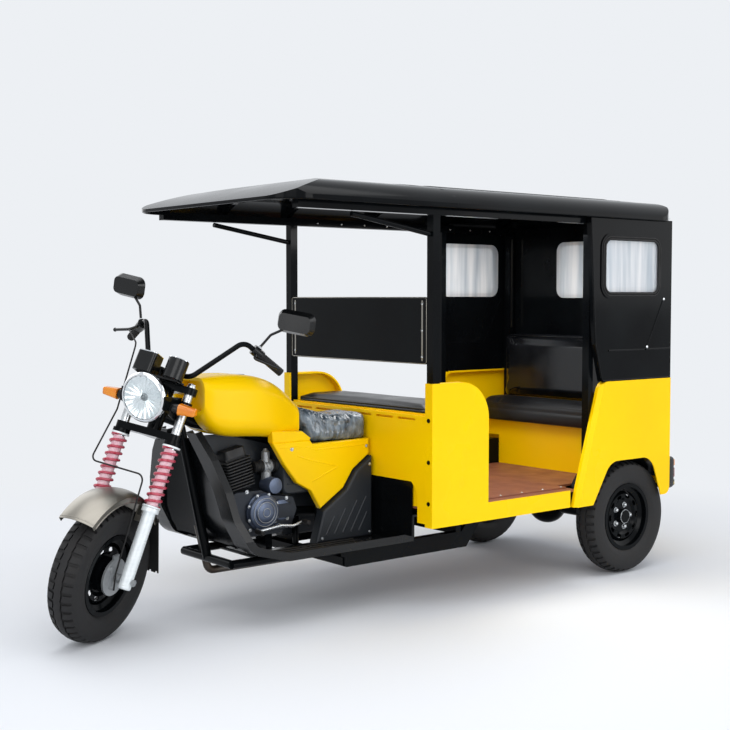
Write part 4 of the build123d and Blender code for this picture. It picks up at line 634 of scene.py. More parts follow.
@dataclass
class Tyre:
    """A tyre with a blocky road tread, moulded on the CAD tyre's own section."""

    node: str
    body: Body
    centre: Vector
    place: Matrix
    outer_r: float = 279.8
    half_width: float = 62.0
    tread_half: float = 50.0
    shoulder_r: float = 267.0
    bead_r: float = 153.0
    bead_half: float = 43.5
    flange_r: float = 167.0
    groove_depth: float = 7.5
    pitches: int = 44
    zigzag: float = 4.0
    wall_rows: int = 14
    ridge_rows: tuple[int, int] = (4, 10)
    ridge: float = 1.2
    # Lines across half the tread: on the middle rib, in the ring groove and on the shoulder blocks.
    rib_lines: tuple[float, ...] = (0, 8, 15)
    groove_lines: tuple[float, ...] = (16, 21)
    block_lines: tuple[float, ...] = (22, 32, 42)
    # Lines within one pitch, as shares of it, and whether the shoulder slot is cut there.
    pitch_lines: tuple[tuple[float, bool], ...] = (
        (0.0, False), (0.30, False), (0.62, False), (0.65, True), (0.95, True), (0.98, False))

    def section(self) -> list[tuple[float, float, bool, bool]]:
        """Draws the section from bead to bead.

        Returns:
            Rows of offset, radius, whether in a ring groove, and whether in the shoulder blocks.
        """
        rows: list[tuple[float, float, bool, bool]] = []
        sag = (self.outer_r - self.shoulder_r) / self.tread_half ** 2
        side = self.sidewall()
        rows += [(-x, r, False, False) for x, r in reversed(side)]
        for x, groove, shoulder in self.tread_lines():
            rows.append((x, self.outer_r - sag * x * x, groove, shoulder))
        rows += [(x, r, False, False) for x, r in side]
        return rows

    def sidewall(self) -> list[tuple[float, float]]:
        """Draws the left sidewall from shoulder to bead, with its moulded rings.

        Returns:
            Rows of offset and radius.
        """
        belly = (self.flange_r + self.shoulder_r) / 2
        swell = self.half_width - (self.tread_half + self.bead_half) / 2
        points = []
        for k in range(1, self.wall_rows):
            t = k / self.wall_rows
            radius = self.shoulder_r + (self.flange_r - self.shoulder_r) * t
            bulge = math.sqrt(max(1 - ((radius - belly) / (self.shoulder_r - belly)) ** 2, 0))
            base = self.tread_half + (self.bead_half - self.tread_half) * t
            ridge = self.ridge if k in self.ridge_rows else 0.0
            points.append((min(base + bulge * swell + ridge, self.half_width), radius))
        return points + [(self.bead_half, self.flange_r - 2), (self.bead_half, self.bead_r)]

    def tread_lines(self) -> list[tuple[float, bool, bool]]:
        """Draws the lines across the tread.

        Returns:
            Rows of offset, whether in a ring groove, and whether in the shoulder blocks.
        """
        half = [(x, False, False) for x in self.rib_lines]
        half += [(x, True, False) for x in self.groove_lines]
        half += [(x, False, True) for x in (*self.block_lines, self.tread_half)]
        left = [(-x, groove, shoulder) for x, groove, shoulder in reversed(half[1:])]
        return left + half

    def build(self) -> bpy.types.Object:
        """Builds the tyre and lets it stand for the CAD one.

        Returns:
            The tyre.
        """
        shape = Shape(self.place)
        rings = []
        for pitch in range(self.pitches):
            for share, slot in self.pitch_lines:
                turn = 2 * math.pi * (pitch + share) / self.pitches
                swing = self.zigzag * (1 - 4 * abs(share - 0.5)) / 2
                ring = []
                for x, radius, groove, shoulder in self.section():
                    cut = groove or (shoulder and slot)
                    depth = self.groove_depth if cut else 0.0
                    wave = swing if abs(x) <= self.block_lines[0] else 0.0
                    out = radius - depth
                    ring.append(self.centre + Vector((x + wave, out * math.sin(turn), out * math.cos(turn))))
                rings.append(ring)
        shape.skin(rings, closed=True)
        tyre = shape.done(f"{self.node}_tread", TYRE_RUBBER, self.body, smooth_deg=30)
        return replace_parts(tyre, self.node)


@dataclass
class Wheels:
    """The three wheels' tyres, nuts and caps."""

    nut_circle: float = 57.0
    nut_count: int = 5
    nut_face: float = 13.0
    washer: Profile = ((0, 14), (2, 14))
    nut: Profile = ((2, 11.5), (10, 11.5), (13, 8), (15, 4))
    cap_face: float = 36.0
    cap_r: float = 33.0
    cap_bead_r: float = 1.6
    valve_r: float = 138.0
    valve_face: float = 22.0
    valve: Profile = ((0, 6), (4, 6), (6, 3.6), (30, 3.6), (31, 4.6), (40, 4.6), (41, 3))

    def build(self) -> None:
        """Builds what the wheels need on top of their CAD rims."""
        front = next(j for j in frame["joints"] if j["name"] == "front_wheel_spin")
        ahead = STEERED.inverted() @ Vector(front["pos_m"]) / MM
        Tyre("front_tyre", Body.FRONT_WHEEL, Vector((0, ahead.y, ahead.z)), STEERED).build()
        for side, body in (("left", Body.REAR_LEFT), ("right", Body.REAR_RIGHT)):
            low, high = millimetres(f"rear_{side}_tyre")
            Tyre(f"rear_{side}_tyre", body, (low + high) / 2, STRAIGHT).build()
            self.hardware(body, (low + high) / 2, 1 if side == "left" else -1)

    def hardware(self, body: Body, centre: Vector, side: int) -> None:
        """Adds a rear wheel's nuts, its hub cap's ring and its valve.

        Args:
            body: the wheel.
            centre: the middle of its tyre.
            side: 1 on the left, -1 on the right.
        """
        out = Vector((side, 0, 0))
        nuts, valve = Shape(), Shape()
        for k in range(self.nut_count):
            t = 2 * math.pi * k / self.nut_count
            round_hub = Vector((0, math.cos(t), math.sin(t))) * self.nut_circle
            at = centre + out * self.nut_face + round_hub
            nuts.lathe(self.washer, at, out, 18)
            nuts.lathe(self.nut, at, out, 6)
        cap = ring_points(centre + out * self.cap_face,
                          Vector((0, self.cap_r, 0)), Vector((0, 0, self.cap_r)), 40)
        nuts.tube(cap, self.cap_bead_r, 8, True)
        nuts.done(f"{body.value}_nuts", ZINC, body, bevel=0.6)
        valve.lathe(self.valve, centre + Vector((side * self.valve_face, 0, self.valve_r)),
                    Vector((side * 0.75, 0, -0.6)), 12)
        valve.done(f"{body.value}_valve", RUBBER, body)


@dataclass
class Pad:
    """A foam pad in a sewn cover, crowned on its free side and flat where it rests."""

    name: str
    node: str
    low: Vector
    high: Vector
    rests: Vector
    swell: float
    fill: float
    finish: Finish
    corner: float = 34.0
    voxel: float = 8.0
    piping_r: float = 3.0
    # How far the side is drawn in, by the share of the depth from the resting side.
    crown: Profile = ((9, 0.0), (3, 0.06), (0, 0.25), (1, 0.5), (6, 0.75), (16, 0.93), (30, 1.0))
    piping_row: int = 4
    pressure: float = 4.0
    steps: int = 20
    # Heights of sewn channels, with the depth and the half width of each.
    channels: tuple[tuple[float, float, float], ...] = ()

    def rings(self) -> list[list[Vector]]:
        """Draws the slightly slack cover's sections.

        Returns:
            The sections from the resting side out.
        """
        out, across = -self.rests, Vector((1, 0, 0))
        up = out.cross(across)
        size = self.high - self.low
        depth, width, height = (abs(size.dot(way)) for way in (out, across, up))
        foot = (self.low + self.high) / 2 - out * depth / 2
        pull = min(depth / 60, 1.0)
        free = depth - 0.6 * self.swell
        made = []
        for inset, share in self.crown:
            trim = 2 * inset * pull + self.swell * 0.5
            outline = rounded_outline(width - trim, height - trim, self.corner, 8)
            made.append([foot + across * u + up * v + out * free * share for u, v in outline])
        return made

    def cover(self) -> bpy.types.Object:
        """Remeshes the slack cover.

        Returns:
            The cover as an even net of small quads.
        """
        shape = Shape()
        shape.skin(self.rings())
        start = shape.rough(f"{self.name}_slack")
        voxels = start.modifiers.new("net", "REMESH")
        voxels.mode = "VOXEL"
        voxels.voxel_size = self.voxel * MM
        graph = bpy.context.evaluated_depsgraph_get()
        net = bpy.data.meshes.new_from_object(start.evaluated_get(graph))
        bpy.data.objects.remove(start)
        made = bpy.data.objects.new(self.name, net)
        bpy.context.scene.collection.objects.link(made)
        return made

    def stuff(self, cover: bpy.types.Object) -> None:
        """Swells the cover by cloth simulation, as far as the foam lets it.

        Args:
            cover: the net, which is changed.
        """
        net = cover.data
        slack = [v.co.copy() for v in net.vertices]
        foot = max(v.dot(self.rests) for v in slack) - 4 * MM
        held = cover.vertex_groups.new(name="resting_side")
        held.add([i for i, v in enumerate(slack) if v.dot(self.rests) > foot], 1.0, "REPLACE")
        cloth = cover.modifiers.new("sewn_cover", "CLOTH").settings
        cloth.vertex_group_mass = held.name
        cloth.use_pressure = True
        cloth.uniform_pressure_force = self.pressure
        cloth.effector_weights.gravity = 0.0
        for step in range(1, self.steps + 1):
            bpy.context.scene.frame_set(step)
        swollen = cover.evaluated_get(bpy.context.evaluated_depsgraph_get()).to_mesh()
        moved = [v.co - at for v, at in zip(swollen.vertices, slack)]
        cover.modifiers.clear()
        cap = self.swell * MM
        for vertex, at, move in zip(net.vertices, slack, moved):
            vertex.co = at + move * min(1.0, cap / max(move.length, 1e-9))
        bpy.context.scene.frame_set(1)

    def sew(self, cover: bpy.types.Object) -> None:
        """Pulls the channels into the stuffed cover and crowns its free side.

        Args:
            cover: the net, which is changed.
        """
        middle, half = (self.low + self.high) / 2 * MM, (self.high - self.low) / 2 * MM
        moves = []
        for vertex in cover.data.vertices:
            dent = sum(depth * math.exp(-((vertex.co.z / MM - at) / spread) ** 2)
                       for at, depth, spread in self.channels)
            away = [1 - min(abs((vertex.co - middle)[k]) / half[k], 1) ** 2
                    for k in range(3) if abs(self.rests[k]) < 0.5]
            crown = 0.3 * self.swell * math.prod(away) * max(vertex.normal.dot(-self.rests), 0)
            moves.append(vertex.normal * (crown - dent) * MM)
        for vertex, move in zip(cover.data.vertices, moves):
            vertex.co += move

    def build(self) -> bpy.types.Object:
        """Builds the pad and its piping, and lets the pad stand for the CAD solid.

        Returns:
            The pad.
        """
        cover = self.cover()
        self.stuff(cover)
        self.sew(cover)
        out = -self.rests
        edge = [cover.closest_point_on_mesh(p * MM)[1] / MM for p in self.rings()[self.piping_row]]
        smooth(cover)
        piece = settle(cover, self.finish, Body.CHASSIS)
        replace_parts(piece, self.node)
        piping = Shape()
        piping.tube([p + out * 0.5 for p in edge], self.piping_r, 8, closed=True)
        piping.done(f"{self.name}_piping", self.finish, Body.CHASSIS)
        return piece


@dataclass
class Saddle(Pad):
    """The rider's saddle, a long pad that dips in the middle, still in its crumpled film."""

    half: float = 126.0
    film_mm: float = 1.9

    def top(self, share: float) -> float:
        """Returns the height of the saddle's top, by the share of its length from the front."""
        return self.high.z - 40 * math.sin(math.pi * min(share * 0.94, 1)) ** 1.1 - 34 * share ** 3

    def rings(self) -> list[list[Vector]]:
        """Draws the sections, narrow in front.

        Returns:
            The sections from front to rear.
        """
        made = []
        length = self.high.y - self.low.y
        for k in range(17):
            share = k / 16
            ends = math.sqrt(max(1 - (2 * share - 1) ** 8, 0.05))
            top = self.top(share) - 0.5 * self.swell
            bottom = self.low.z + max(0.0, 96 - 96 * share / 0.13)
            half = (self.half - 26 * (1 - share) ** 2 - 0.5 * self.swell) * (0.86 + 0.14 * ends)
            height = (top - bottom) * (0.9 + 0.1 * ends)
            y = self.low.y + 2 + (length - 4) * share
            made.append([Vector((u, y, (top + bottom) / 2 + v - 4 * (u / half) ** 2))
                         for u, v in rounded_outline(2 * half, height, min(26, height / 2.2), 6)])
        return made

    def sew(self, cover: bpy.types.Object) -> None:
        """Crumples the film over the stuffed saddle.

        Args:
            cover: the net, which is changed.
        """
        moves = []
        for vertex in cover.data.vertices:
            x, y, z = vertex.co / MM
            drift = noise.noise(Vector((x / 60, y / 60, z / 60))) * 2.2
            fold = 1 - abs(noise.noise(Vector((x / 34 + drift, y / 15 + drift, z / 70)))) * 2
            moves.append(vertex.normal * (fold - 0.5) * self.film_mm * MM)
        for vertex, move in zip(cover.data.vertices, moves):
            vertex.co += move

    def build(self) -> bpy.types.Object:
        """Builds the saddle and lets it stand for the CAD solid.

        Returns:
            The saddle.
        """
        cover = self.cover()
        self.stuff(cover)
        self.sew(cover)
        smooth(cover)
        piece = settle(cover, self.finish, Body.CHASSIS)
        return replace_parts(piece, self.node)


@dataclass
class Seats:
    """The two benches, their backrests and the saddle."""

    bench_half: float = 489.0
    back_half: float = 496.0
    board_y: float = -36.0
    board_t: float = 7.0
    board_z: float = 1226.5
    board_height: float = 291.0
    trim_inset: float = 30.0
    bolt_z: tuple[float, ...] = (1112, 1226, 1341)

    def build(self) -> None:
        """Builds the pads, the front backrest's board and its trim."""
        down, ahead, back = Vector((0, 0, -1)), Vector((0, -1, 0)), Vector((0, 1, 0))
        half, wide = self.bench_half, self.back_half
        Pad("front_cushion", "bench_cushions", Vector((-half, -25, 867)), Vector((half, 269, 898)),
            down, 10, 0.8, BLACK_VINYL).build()
        Pad("rear_cushion", "bench_cushions", Vector((-half, 1236, 698)), Vector((half, 1396, 831)),
            down, 14, 0.8, BLACK_VINYL, channels=((766, 7, 7),)).build()
        Pad("front_backrest", "bench_backrests", Vector((-wide, self.board_y, 1082)), Vector((wide, 7, 1371)),
            ahead, 10, 0.7, GLOSS_VINYL).build()
        Pad("rear_backrest", "bench_backrests", Vector((-wide, 1400, 796)), Vector((wide, 1507, 1177)),
            back, 16, 0.7, GLOSS_VINYL).build()
        # The saddle's blue-grey, streaked colour is painted highlights of its film.
        Saddle("saddle", "rider_seat", Vector((-128, -421, 735)), Vector((128, -69, 893)),
               down, 8, 0.75, FILM_VINYL_PAINTED_HIGHLIGHTS, voxel=5.0).build()
        self.board()

    def board(self) -> None:
        """Adds the lacquered board behind the front backrest, with its bright edge strips and bolts."""
        face = self.board_y - self.board_t
        hidden = self.board_y - 0.5
        board = Shape()
        outline = rounded_outline(2 * self.back_half, self.board_height, 12, 4)
        board.plate([Vector((u, hidden, self.board_z + v)) for u, v in outline],
                    Vector((0, face - hidden, 0)))
        board.done("backrest_board", BLACK_ENAMEL, Body.CHASSIS, bevel=1.5)
        strip, bolts = Shape(), Shape()
        for side in (-1, 1):
            x = side * (self.back_half - self.trim_inset)
            strip.plate([Vector((x + u, face, self.board_z + v)) for u, v in rounded_outline(9, 262, 4, 4)],
                        Vector((0, -1.2, 0)))
            for z in self.bolt_z:
                bolts.dome(Vector((x, face - 1.0, z)), Vector((0, -1, 0)), 5.5)
        edge = rounded_outline(2 * self.back_half - 6, self.board_height - 6, 10, 4)
        strip.tube([Vector((u, face - 0.2, self.board_z + v)) for u, v in edge], 1.6, 8, True)
        strip.done("backrest_trim", STAINLESS, Body.CHASSIS)
        bolts.done("backrest_bolts", ZINC, Body.CHASSIS)


@dataclass
class Roof:
    """The roof's rolled eave, its ribs, its seam strap and its fasteners."""

    half: float = 600.0
    front_y: float = -865.3
    rear_y: float = 1566.7
    seam_y: float = 29.7
    eave_z: float = 1755.0
    crown_z: float = 1885.0
    corner: float = 135.0
    bead_r: float = 5.0
    rib_x: tuple[float, ...] = (190.0, 300.0, 400.0)
    rib_half: float = 15.0
    rib_height: float = 6.5
    # Along a rib: the share of its length, and how far it has risen there.
    rib_run: Profile = ((0, 0.15), (0.02, 0.8), (0.04, 1), (0.96, 1), (0.98, 0.8), (1, 0.15))
    rivet_r: float = 5.0
    strap_width: float = 46.0
    strap_t: float = 1.8
    screw_r: float = 4.5

    def section(self) -> list[Vector]:
        """Casts points onto the roof's left half at the seam.

        Returns:
            The points from crown to eave.
        """
        hub = Vector((0, self.seam_y + 8, 1700))
        ways = [Vector((math.sin(t), 0, math.cos(t))) for t in (math.radians(4 * k) for k in range(22))]
        hits = [face_at("rear_roof", hub + way * 900, -way) for way in ways]
        return [Vector((p.x, self.seam_y, p.z)) for p in hits if p is not None]

    def build(self) -> None:
        """Builds everything on the roof."""
        length, middle = self.rear_y - self.front_y, (self.rear_y + self.front_y) / 2
        inset = 2 * self.bead_r
        bead = Shape()
        edge = rounded_outline(2 * self.half - inset, length - inset, self.corner, 12)
        bead.tube([Vector((u, middle + v, self.eave_z - 1)) for u, v in edge], self.bead_r, 10, True)
        bead.done("roof_eave_roll", BLACK_ENAMEL, Body.CHASSIS)
        self.ribs()
        self.strap()
        rivets = Shape()
        for side in (-1, 1):
            for k in range(9):
                rivets.dome(Vector((side * (self.half - 3.4), 330 + 145 * k, self.eave_z + 9)),
                            Vector((side, 0, 0)), self.rivet_r)
        for k in range(7):
            rivets.dome(Vector((-390 + 130 * k, self.rear_y - 2.4, self.eave_z + 12)), Vector((0, 1, 0)),
                        self.rivet_r)
        rivets.done("roof_eave_rivets", ZINC, Body.CHASSIS)

    def ribs(self) -> None:
        """Adds the long ribs pressed into the rear roof."""
        ribs = Shape()
        for x in (side * at for at in self.rib_x for side in (-1, 1)):
            z = self.crown_z - 40 * (x / 440) ** 2
            rings = []
            for share, rise in self.rib_run:
                y = self.seam_y + 50 + (1330 - self.seam_y) * share
                half, height = self.rib_half * rise, self.rib_height * rise
                rings.append([Vector((x + half * math.cos(t), y, z - 3.5 + height * math.sin(t)))
                              for t in (math.pi * k / 8 for k in range(9))])
            ribs.skin(rings)
        ribs.done("roof_ribs", BLACK_ENAMEL, Body.CHASSIS, smooth_deg=60)

    def strap(self) -> None:
        """Adds the strap over the seam between the two roof pressings, with its screws."""
        left = [Vector((p.x, p.y, min(p.z, self.crown_z - 1.6))) for p in self.section()]
        over = [Vector((-p.x, p.y, p.z)) for p in reversed(left[1:])] + left
        strap, screws = Shape(), Shape()
        strap.ribbon([Vector((p.x * 0.996, p.y, p.z)) for p in over], Vector((0, 1, 0)),
                     self.strap_width, self.strap_t)
        strap.done("roof_seam_strap", BLACK_ENAMEL, Body.CHASSIS, smooth_deg=50)
        for p in left[6::4]:
            out = Vector((0.5 * p.x / self.half, 0, 1)).normalized() if p.z > 1800 else Vector((1, 0, 0))
            for side in (-1, 1):
                for y in (-14, 14):
                    way = Vector((side * out.x, 0, out.z))
                    screws.dome(Vector((side * p.x * 0.994, p.y + y, p.z - 1.4 * out.z)), way, self.screw_r)
        screws.done("roof_strap_screws", ZINC, Body.CHASSIS)


@dataclass
class UpperCabin:
    """The black upper panels' window seals, pressed creases, edge strips and studs."""

    face_x: float = 572.0
    frame_x: float = 577.0
    window_y: float = 1230.7
    window_z: float = 1520.0
    window: tuple[float, float, float] = (412.0, 264.0, 45.0)
    rear_window: tuple[float, float, float] = (356.0, 275.0, 45.0)
    rear_window_z: float = 1519.5
    # The pressed creases and the front edge, as y and z along each.
    crease: Profile = ((1480, 1362), (1400, 1214), (1352, 1126), (1330, 1114), (1062, 1114))
    front_edge: Profile = ((1014, 985), (969.7, 1145), (957, 1330), (932, 1742))
    crease_z: float = 1114.0
    waist_z: float = 969.0
    crease_r: float = 5.5
    edge_r: float = 5.0
    # The seal's lips: how far each stands out from the opening, and its radius.
    lips: Profile = ((-3, 5.5), (9, 4.0))
    lining_x: float = 498.4

    def build(self) -> None:
        """Builds the details of both sides and the back."""
        width, height, corner = self.window
        seals, creases, studs = Shape(), Shape(), Shape()
        for side in (-1, 1):
            for grow, r in self.lips:
                lip = rounded_outline(width + 2 * grow, height + 2 * grow, corner + grow, 8)
                seals.tube([Vector((side * self.frame_x, self.window_y + u, self.window_z + v))
                            for u, v in lip], r, 10, True)
            face = side * (self.face_x - 1.5)
            creases.tube([Vector((face, y, z)) for y, z in self.crease], self.crease_r, 10)
            creases.tube([Vector((face, y, self.crease_z)) for y in (1345, 1440, 1540)], self.crease_r, 10)
            creases.tube([Vector((face, y, z)) for y, z in self.front_edge], self.edge_r, 10)
            creases.tube([Vector((face, y, self.waist_z)) for y in (1022, 1280, 1540)], self.edge_r, 10)
            for y, z in (self.crease[0], self.crease[2]):
                studs.dome(Vector((side * (self.face_x + 3), y, z)), Vector((side, 0, 0)), 7.0)
        back_y = millimetres("rear_upper_panel")[1].y
        wide, tall, corner = self.rear_window
        lip = rounded_outline(wide, tall, corner, 8)
        seals.tube([Vector((u, back_y, self.rear_window_z + v)) for u, v in lip], self.lips[0][1], 10, True)
        seals.done("window_seals", RUBBER, Body.CHASSIS)
        creases.tube([Vector((x, back_y - 1, self.crease_z)) for x in (-540, 0, 540)], self.crease_r, 10)
        creases.done("upper_panel_creases", BLACK_ENAMEL, Body.CHASSIS, smooth_deg=60)
        studs.done("upper_panel_studs", CHROME, Body.CHASSIS)
        self.lining()

    def lining(self) -> None:
        """Adds the rivets and the bright strip inside, along the roof rails and the rear posts."""
        rivets, strips = Shape(), Shape()
        for side in (-1, 1):
            way = Vector((-side, 0, 0))
            for k in range(9):
                rivets.dome(Vector((side * self.lining_x, 120 + 150 * k, 1738)), way, 5.0)
            strip = rounded_outline(12, 500, 4, 4)
            strips.plate([Vector((side * self.lining_x, 1497 + u, 1450 + v)) for u, v in strip], way * 1.5)
        rivets.done("lining_rivets", ZINC, Body.CHASSIS)
        strips.done("lining_strips", STAINLESS, Body.CHASSIS)


@dataclass
class TailLamps:
    """The two tail lamps: tapered black housings with stacked lenses."""

    x: float = 528.0
    z: float = 480.0
    width: float = 92.0
    height: float = 164.0
    back_y: float = 1545.2
    lens_y: float = 1590.0
    end_y: float = 1609.0

    def build(self) -> None:
        """Builds the housings and lenses, and lets them stand for the CAD blocks."""
        housing, red, amber, clear = Shape(), Shape(), Shape(), Shape()
        for side in (-1, 1):
            rings = []
            for y, trim, corner in ((self.back_y, 0, 14), (self.lens_y - 12, 4, 16), (self.lens_y, 12, 16)):
                rings.append([Vector((side * self.x + u, y, self.z + v)) for u, v in
                              rounded_outline(self.width - trim, self.height - trim, corner, 5)])
            housing.skin(rings)
            for shape, rise, tall in ((amber, 47, 40), (red, -4, 56), (clear, -55, 38)):
                rows = []
                for y, trim in ((self.lens_y - 2, 0), (self.end_y - 5, 4), (self.end_y, 14)):
                    rows.append([Vector((side * self.x + u, y, self.z + rise + v)) for u, v in
                                 rounded_outline(72 - trim, tall - trim, 8, 5)])
                shape.skin(rows)
            for k in range(4):
                z = self.z - 24 + 13.5 * k
                red.tube([Vector((side * self.x + u, self.end_y - 2.6, z)) for u in (-26, 0, 26)], 2.4, 8)
        piece = housing.done("tail_lamp_housings", BLACK_ABS, Body.CHASSIS, bevel=2)
        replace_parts(piece, "tail_lamps")
        red.done("stop_lenses", RED_ACRYLIC, Body.CHASSIS, bevel=1)
        amber.done("turn_lenses", AMBER_ACRYLIC, Body.CHASSIS, bevel=1)
        clear.done("reverse_lenses", LAMP_GLASS, Body.CHASSIS, bevel=1)


@dataclass
class HeadLamp:
    """The headlamp's chrome rim, its dish, its bulb and its fluted glass."""

    centre: Vector = field(default_factory=lambda: Vector((0, -1194.3, 980)))
    ahead: Vector = field(default_factory=lambda: Vector((0, -0.9976, -0.0698)))
    rim_r: float = 98.0
    glass_r: float = 88.0
    flutes: int = 40
    flute_depth: float = 1.1
    facets: int = 22
    facet_depth: float = 1.5
    glass_t: float = 2.6
    # The rim's section: along the lamp's axis, and out from the rim's radius.
    rim: Profile = ((-4, 1), (4, 5), (13, 4), (20, -2), (21, -8), (16, -9), (12, -1))
    bulb: Profile = ((5, 16), (8, 15), (9, 9), (14, 8.5), (18, 5), (19, 1))

    def build(self) -> None:
        """Builds the lamp's front."""
        rim = Shape(STEERED)
        rim.hoop([(along, self.rim_r + out) for along, out in self.rim], self.centre, self.ahead, 72)
        rim.done("headlamp_rim", CHROME, Body.STEERING)
        self.dish()
        bulb = Shape(STEERED)
        bulb.lathe(self.bulb, self.centre, self.ahead, 24)
        bulb.done("headlamp_bulb", HUB_ALLOY, Body.STEERING)
        self.glass()

    def dish(self) -> None:
        """Adds the bright dish, pressed into facets that run out from the bulb."""
        normal = Vector((1, 0, 0))
        across = self.ahead.cross(normal)
        shape = Shape(STEERED)
        sides = self.facets * 4
        loops = []
        for k in range(sides):
            t = 2 * math.pi * k / sides
            way = normal * math.cos(t) + across * math.sin(t)
            fold = self.facet_depth * math.cos(self.facets * t)
            loop = ((15.0, self.glass_r), (10 + fold, 66), (7.5 + fold, 40), (5.2, 15), (4.6, 15),
                    (4.6, self.glass_r))
            loops.append([self.centre + self.ahead * along + way * radius for along, radius in loop])
        shape.skin(loops, closed=True)
        shape.done("headlamp_dish", DISH_METAL_AND_PAINTED_REFLECTION, Body.STEERING)

    def glass(self) -> None:
        """Adds the glass, with upright flutes across its inner face."""
        normal = Vector((1, 0, 0))
        across = self.ahead.cross(normal)
        shape = Shape(STEERED)
        rings = []
        outer = [(self.glass_r * k / 9, 26 - 9.5 * (k / 9) ** 2) for k in range(1, 10)]
        inner = [(r, z - self.glass_t) for r, z in reversed(outer)]
        sides = self.flutes * 4
        for row, (radius, along) in enumerate(outer + inner):
            ring = []
            for k in range(sides):
                t = 2 * math.pi * k / sides
                wave = math.cos(math.pi * radius * math.cos(t) / 7)
                dent = self.flute_depth * wave if row >= len(outer) else 0.0
                ring.append(self.centre + self.ahead * (along + dent)
                            + (normal * math.cos(t) + across * math.sin(t)) * radius)
            rings.append(ring)
        shape.skin(rings)
        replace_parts(shape.done("headlamp_glass", LAMP_GLASS, Body.STEERING), "headlight_lens")


@dataclass
class Fork:
    """The front fork's seals, spring seats, caps and rolled fender edges."""

    foot: Vector = field(default_factory=lambda: Vector((0, -1355.3, 278.52)))
    up: Vector = field(default_factory=lambda: Vector((0, 0.374607, 0.927184)))
    half: float = 123.0
    slider_top: float = 300.0
    spring_top: float = 560.0
    cap_z: float = 813.0
    fender_at: Vector = field(default_factory=lambda: Vector((0, -1367.3, 296.52)))
    fender_half: float = 78.0
    fender_r: float = 330.0
    seal: Profile = ((0, 20), (0, 28), (9, 27.5), (14, 23), (14, 20))
    seat: Profile = ((0, 20), (0, 36.5), (3, 37.5), (7, 37), (8, 34), (8, 20))
    cap: Profile = ((0, 17), (7, 17), (10, 13))
    sleeve_r: float = 24.0
    bore_r: float = 20.0

    def build(self) -> None:
        """Builds both legs' details and the fender's edges."""
        seals, seats, caps, sleeves = (Shape(STEERED) for _ in range(4))
        for side in (-1, 1):
            leg = self.foot + Vector((side * self.half, 0, 0))
            seals.hoop(self.seal, leg + self.up * (self.slider_top - 4), self.up)
            for along in (self.slider_top + 1, self.spring_top - 9):
                seats.hoop(self.seat, leg + self.up * along, self.up)
            caps.lathe(self.cap, leg + self.up * self.cap_z, self.up, 6)
            length = self.spring_top - self.slider_top - 26
            wall = [(0, self.bore_r), (0, self.sleeve_r), (length, self.sleeve_r), (length, self.bore_r)]
            sleeves.hoop(wall, leg + self.up * (self.slider_top + 10), self.up)
        sleeves.done("fork_spring_sleeves", NYLON_PAINTED_RED_REFLECTION, Body.STEERING)
        seals.done("fork_dust_seals", RUBBER, Body.STEERING)
        seats.done("fork_spring_seats", PALE_ALLOY_PAINTED_REFLECTION, Body.STEERING)
        caps.done("fork_top_caps", CHROME, Body.STEERING, bevel=0.8)
        self.fender_edges()

    def fender_edges(self) -> None:
        """Adds the rolled wire edge round the fender."""
        edge = Shape(STEERED)
        turns = [math.radians(38 - 96 * k / 30) for k in range(31)]
        low = self.fender_r - 40
        for side in (-1, 1):
            x = side * (self.fender_half - 1)
            edge.tube([self.fender_at + Vector((x, -low * math.sin(t), low * math.cos(t)))
                       for t in turns], 3.2, 10)
        brow = [(u, self.fender_r - 1.5 - 18 * (u / self.fender_half) ** 2) for u in range(-77, 78, 11)]
        for t in (turns[0], turns[-1]):
            edge.tube([self.fender_at + Vector((u, -r * math.sin(t), r * math.cos(t)))
                       for u, r in brow], 3.0, 10)
        edge.done("fender_rolled_edge", STAINLESS, Body.STEERING)


